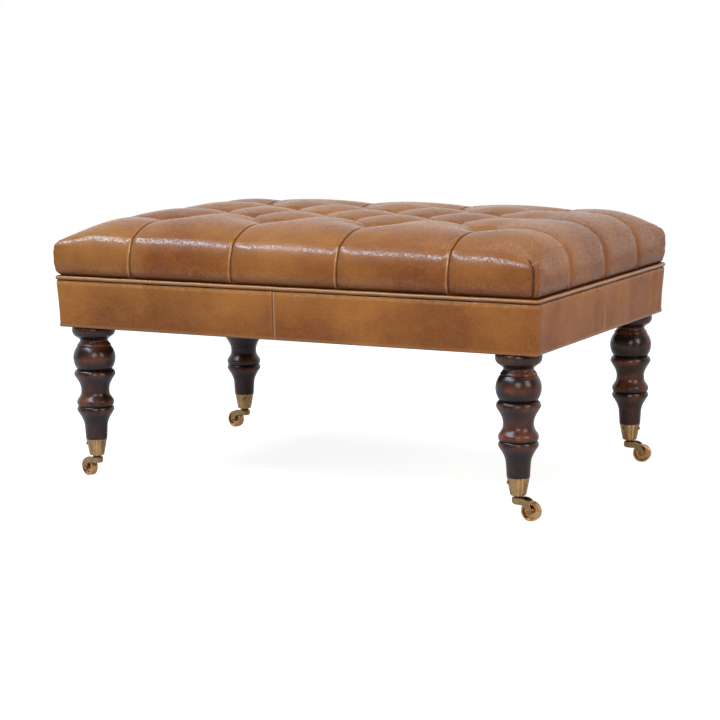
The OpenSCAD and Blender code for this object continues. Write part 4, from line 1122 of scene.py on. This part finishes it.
# %% Finishes of the castors and screws
def metal_finish(name, bright, brown, turned=0.0):
    finish, tree, shader = new_finish(name)
    metal = place_group(tree, brass, {"Bright": bright, "Brown": brown, "Turned": turned})
    fill_in(tree, shader, {"Base Color": metal["Colour"], "Roughness": metal["Roughness"], "Metallic": 1.0,
                           "Normal": bump(tree, metal["Height"], 0.5, 0.0002),
                           "Anisotropic": 0.97 * turned, "Anisotropic Rotation": 0.25})
    return finish


cup_brass = metal_finish("cup_brass", (0.5, 0.3, 0.135, 1), (0.3, 0.165, 0.07, 1), turned=1.0)
horn_brass = metal_finish("horn_brass", (0.36, 0.23, 0.11, 1), (0.18, 0.1, 0.045, 1))
wheel_brass = metal_finish("wheel_brass", (0.6, 0.34, 0.15, 1), (0.34, 0.14, 0.055, 1))
screw_brass = metal_finish("screw_brass", (0.30, 0.19, 0.09, 1), (0.12, 0.07, 0.035, 1))
dark_steel = metal_finish("dark_steel", (0.05, 0.04, 0.03, 1), (0.02, 0.015, 0.012, 1))
plain_steel = metal_finish("zinc_steel", (0.55, 0.55, 0.56, 1), (0.33, 0.32, 0.31, 1))

# %% [markdown]
# ### Finishes of the frame
# The frame is hidden, but each of its pieces still gets its own finish: straight-grained beech for the rails,
# thin layers at the plywood's edge, felt, card, twine and cloth.

# %% Wood, plywood and card
def grained_finish(name, light, dark, stretch_by, scale, roughness, depth):
    finish, tree, shader = new_finish(name)
    along = own_place(tree, stretch_by)
    fibres = stretch(tree, noise(tree, along, scale, 8.0, 0.65), 0.35, 0.65)
    rings = add_node(tree, "TexWave", {"Vector": along, "Scale": scale * 0.3, "Distortion": 7.0, "Detail": 3.0})
    pattern = plus(tree, times(tree, fibres, 0.6), times(tree, rings.outputs["Fac"], 0.4))
    fill_in(tree, shader, {"Base Color": blend_colours(tree, pattern, light, dark),
                           "Roughness": stretch(tree, pattern, 0.0, 1.0, roughness, roughness + 0.15),
                           "Normal": bump(tree, pattern, 0.5, depth)})
    return finish


beech = (0.62, 0.42, 0.23, 1), (0.42, 0.25, 0.12, 1)
long_beech = grained_finish("beech_along_x", *beech, (0.08, 1, 1), 60, 0.55, 0.0002)
cross_beech = grained_finish("beech_along_y", *beech, (1, 0.08, 1), 60, 0.55, 0.0002)
plywood = grained_finish("plywood", (0.66, 0.48, 0.27, 1), (0.45, 0.28, 0.13, 1), (0.1, 0.7, 8), 30, 0.6, 0.0003)
card = grained_finish("grey_card", (0.45, 0.35, 0.24, 1), (0.36, 0.27, 0.18, 1), (1, 1, 0.3), 200, 0.8, 0.0001)


# %% Cloth, felt and twine
def fibre_finish(name, light, dark, scale, twist=1.0):
    finish, tree, shader = new_finish(name)
    threads = noise(tree, own_place(tree, (1, 1, twist)), scale, 6.0, 0.7)
    fill_in(tree, shader, {"Base Color": blend_colours(tree, stretch(tree, threads, 0.3, 0.7), light, dark),
                           "Roughness": stretch(tree, threads, 0.3, 0.7, 0.8, 0.95),
                           "Normal": bump(tree, threads, 0.7, 0.0004)})
    return finish


black_cloth = fibre_finish("black_cloth", (0.028, 0.027, 0.027, 1), (0.008, 0.008, 0.008, 1), 420)
felt = fibre_finish("white_felt", (0.75, 0.74, 0.7, 1), (0.55, 0.54, 0.5, 1), 260)
twine = fibre_finish("waxed_twine", (0.72, 0.64, 0.48, 1), (0.45, 0.38, 0.26, 1), 500, twist=0.4)
give(dust_cloth, black_cloth)

# %% Each CAD node gets its finish
at_each_corner = {"leg": stain, "cup": cup_brass, "horn": horn_brass, "wheel": wheel_brass, "axle": screw_brass,
                  "washer": dark_steel, "kingpin": plain_steel, "corner_block": long_beech}
node_finish = {f"{part}_{corner}": finish for part, finish in at_each_corner.items() for corner in corners}
for names, finish in (
        (("front_rail", "back_rail"), long_beech),
        (("left_rail", "right_rail", "cross_rail_left", "cross_rail_right"), cross_beech),
        (("frame_screws", "deck_screws", "tie_washers", "cover_staples", "hanger_bolts", "tee_nuts"), plain_steel),
        (("cup_screws",), screw_brass), (("deck_board",), plywood), (("backtack_strip",), card),
        (("border_padding",), felt), (("button_ties",), twine)):
    node_finish.update({name: finish for name in names})
for name, finish in node_finish.items():
    give(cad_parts[name], finish)
hidden = {"leather_top", "fibre_wrap", "foam_block", "buttons", "piping", "dust_cover"}
hidden |= {"border_" + corner for corner in corners}
print("nodes with no finish:", sorted(set(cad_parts) - set(node_finish) - hidden))

# %% [markdown]
# ## Floor and light
# The floor is a plain pale sheet. The camera, and shiny pieces that reflect it, see it and the backdrop as white,
# while the light that falls on the ottoman stays soft and plain. The room in front of the ottoman is dimmer than
# the backdrop behind it, as in a studio, so the brass has something dark to mirror too. A long narrow lamp high in
# front, bluish like a window, draws the thin bright line along the rolled edge. The lamp at the right is warm.

# %% Floor and backdrop
pick()
bpy.ops.mesh.primitive_plane_add(size=24)
floor = new_piece("floor")
finish, tree, shader = new_finish("pale_floor")
path = add_node(tree, "LightPath").outputs
paint = grey(tree, stretch(tree, noise(tree, own_place(tree), 2.0, 2.0), 0.3, 0.7, 0.5, 0.52))
fill_in(tree, shader, {"Base Color": paint, "Roughness": 0.9, "Specular IOR Level": 0.1})
glow = add_node(tree, "Emission", {"Color": (1, 1, 1, 1), "Strength": 0.8})
none = add_node(tree, "Emission", {"Color": (0, 0, 0, 1), "Strength": 0.0})
mirrored = times(tree, path["Is Glossy Ray"], 0.3)
seen = larger(tree, path["Is Camera Ray"], larger(tree, mirrored, path["Is Transmission Ray"]))
extra = add_node(tree, "MixShader", {0: seen, 1: none.outputs[0], 2: glow.outputs[0]})
both = add_node(tree, "AddShader", {0: shader.outputs[0], 1: extra.outputs[0]})
fill_in(tree, tree.nodes["Material Output"], {"Surface": both.outputs[0]})
give(floor, finish)

# %% World
world = bpy.context.scene.world or bpy.data.worlds.new("studio")
bpy.context.scene.world = world
world.use_nodes = True
tree = world.node_tree
tree.nodes.clear()
path = add_node(tree, "LightPath").outputs
seen = larger(tree, path["Is Camera Ray"], path["Is Transmission Ray"])
direction = add_node(tree, "SeparateXYZ", {0: add_node(tree, "TexCoord").outputs["Generated"]}).outputs
# Grows towards the side that lies behind the ottoman for the camera
away = minus(tree, times(tree, direction[1], 0.89), times(tree, direction[0], 0.45))
sky = stretch(tree, direction[2], 0.15, 0.85, 1.0, 0.45)
room = stretch(tree, direction[2], 0.0, 1.0, 0.12, 0.3)
soft = stretch(tree, direction[2], 0.0, 1.0, 0.26, 0.42)
mirrored = between(tree, stretch(tree, away, -0.15, 0.35), room, sky)
strength = between(tree, path["Is Glossy Ray"], soft, mirrored)
strength = between(tree, seen, strength, 1.0)
backdrop = add_node(tree, "Background", {"Color": (1, 1, 1, 1), "Strength": strength})
add_node(tree, "OutputWorld", {"Surface": backdrop.outputs[0]})


# %% Lamps
def lamp(name, place, aim, width, depth, watts, colour=(1, 1, 1)):
    pick()
    bpy.ops.object.light_add(type="AREA", location=place)
    light = bpy.context.object
    light.name = name
    light.data.shape = "RECTANGLE"
    light.data.size, light.data.size_y = width, depth
    light.data.energy, light.data.color = watts, colour
    toward = (Vector(aim) - Vector(place)).normalized()
    light.rotation_euler = toward.to_track_quat("-Z", "Y").to_euler()


# Name, place, the point it is aimed at, width, depth, watts and colour
lamp("window_strip", (-1.1, -1.5, 2.3), (0, -0.28, 0.42), 2.6, 0.5, 78, (0.6, 0.81, 1.0))
lamp("front_softbox", (1.5, -3.2, 1.7), (0.2, 0, 0.3), 1.2, 1.2, 38, (1.0, 0.98, 0.95))
lamp("right_softbox", (3.0, -0.9, 1.6), (0.2, 0, 0.3), 1.0, 1.4, 35, (1.0, 0.95, 0.88))
lamp("ceiling_softbox", (0.2, 0.6, 2.9), (0, 0.1, 0.4), 2.2, 1.6, 12)
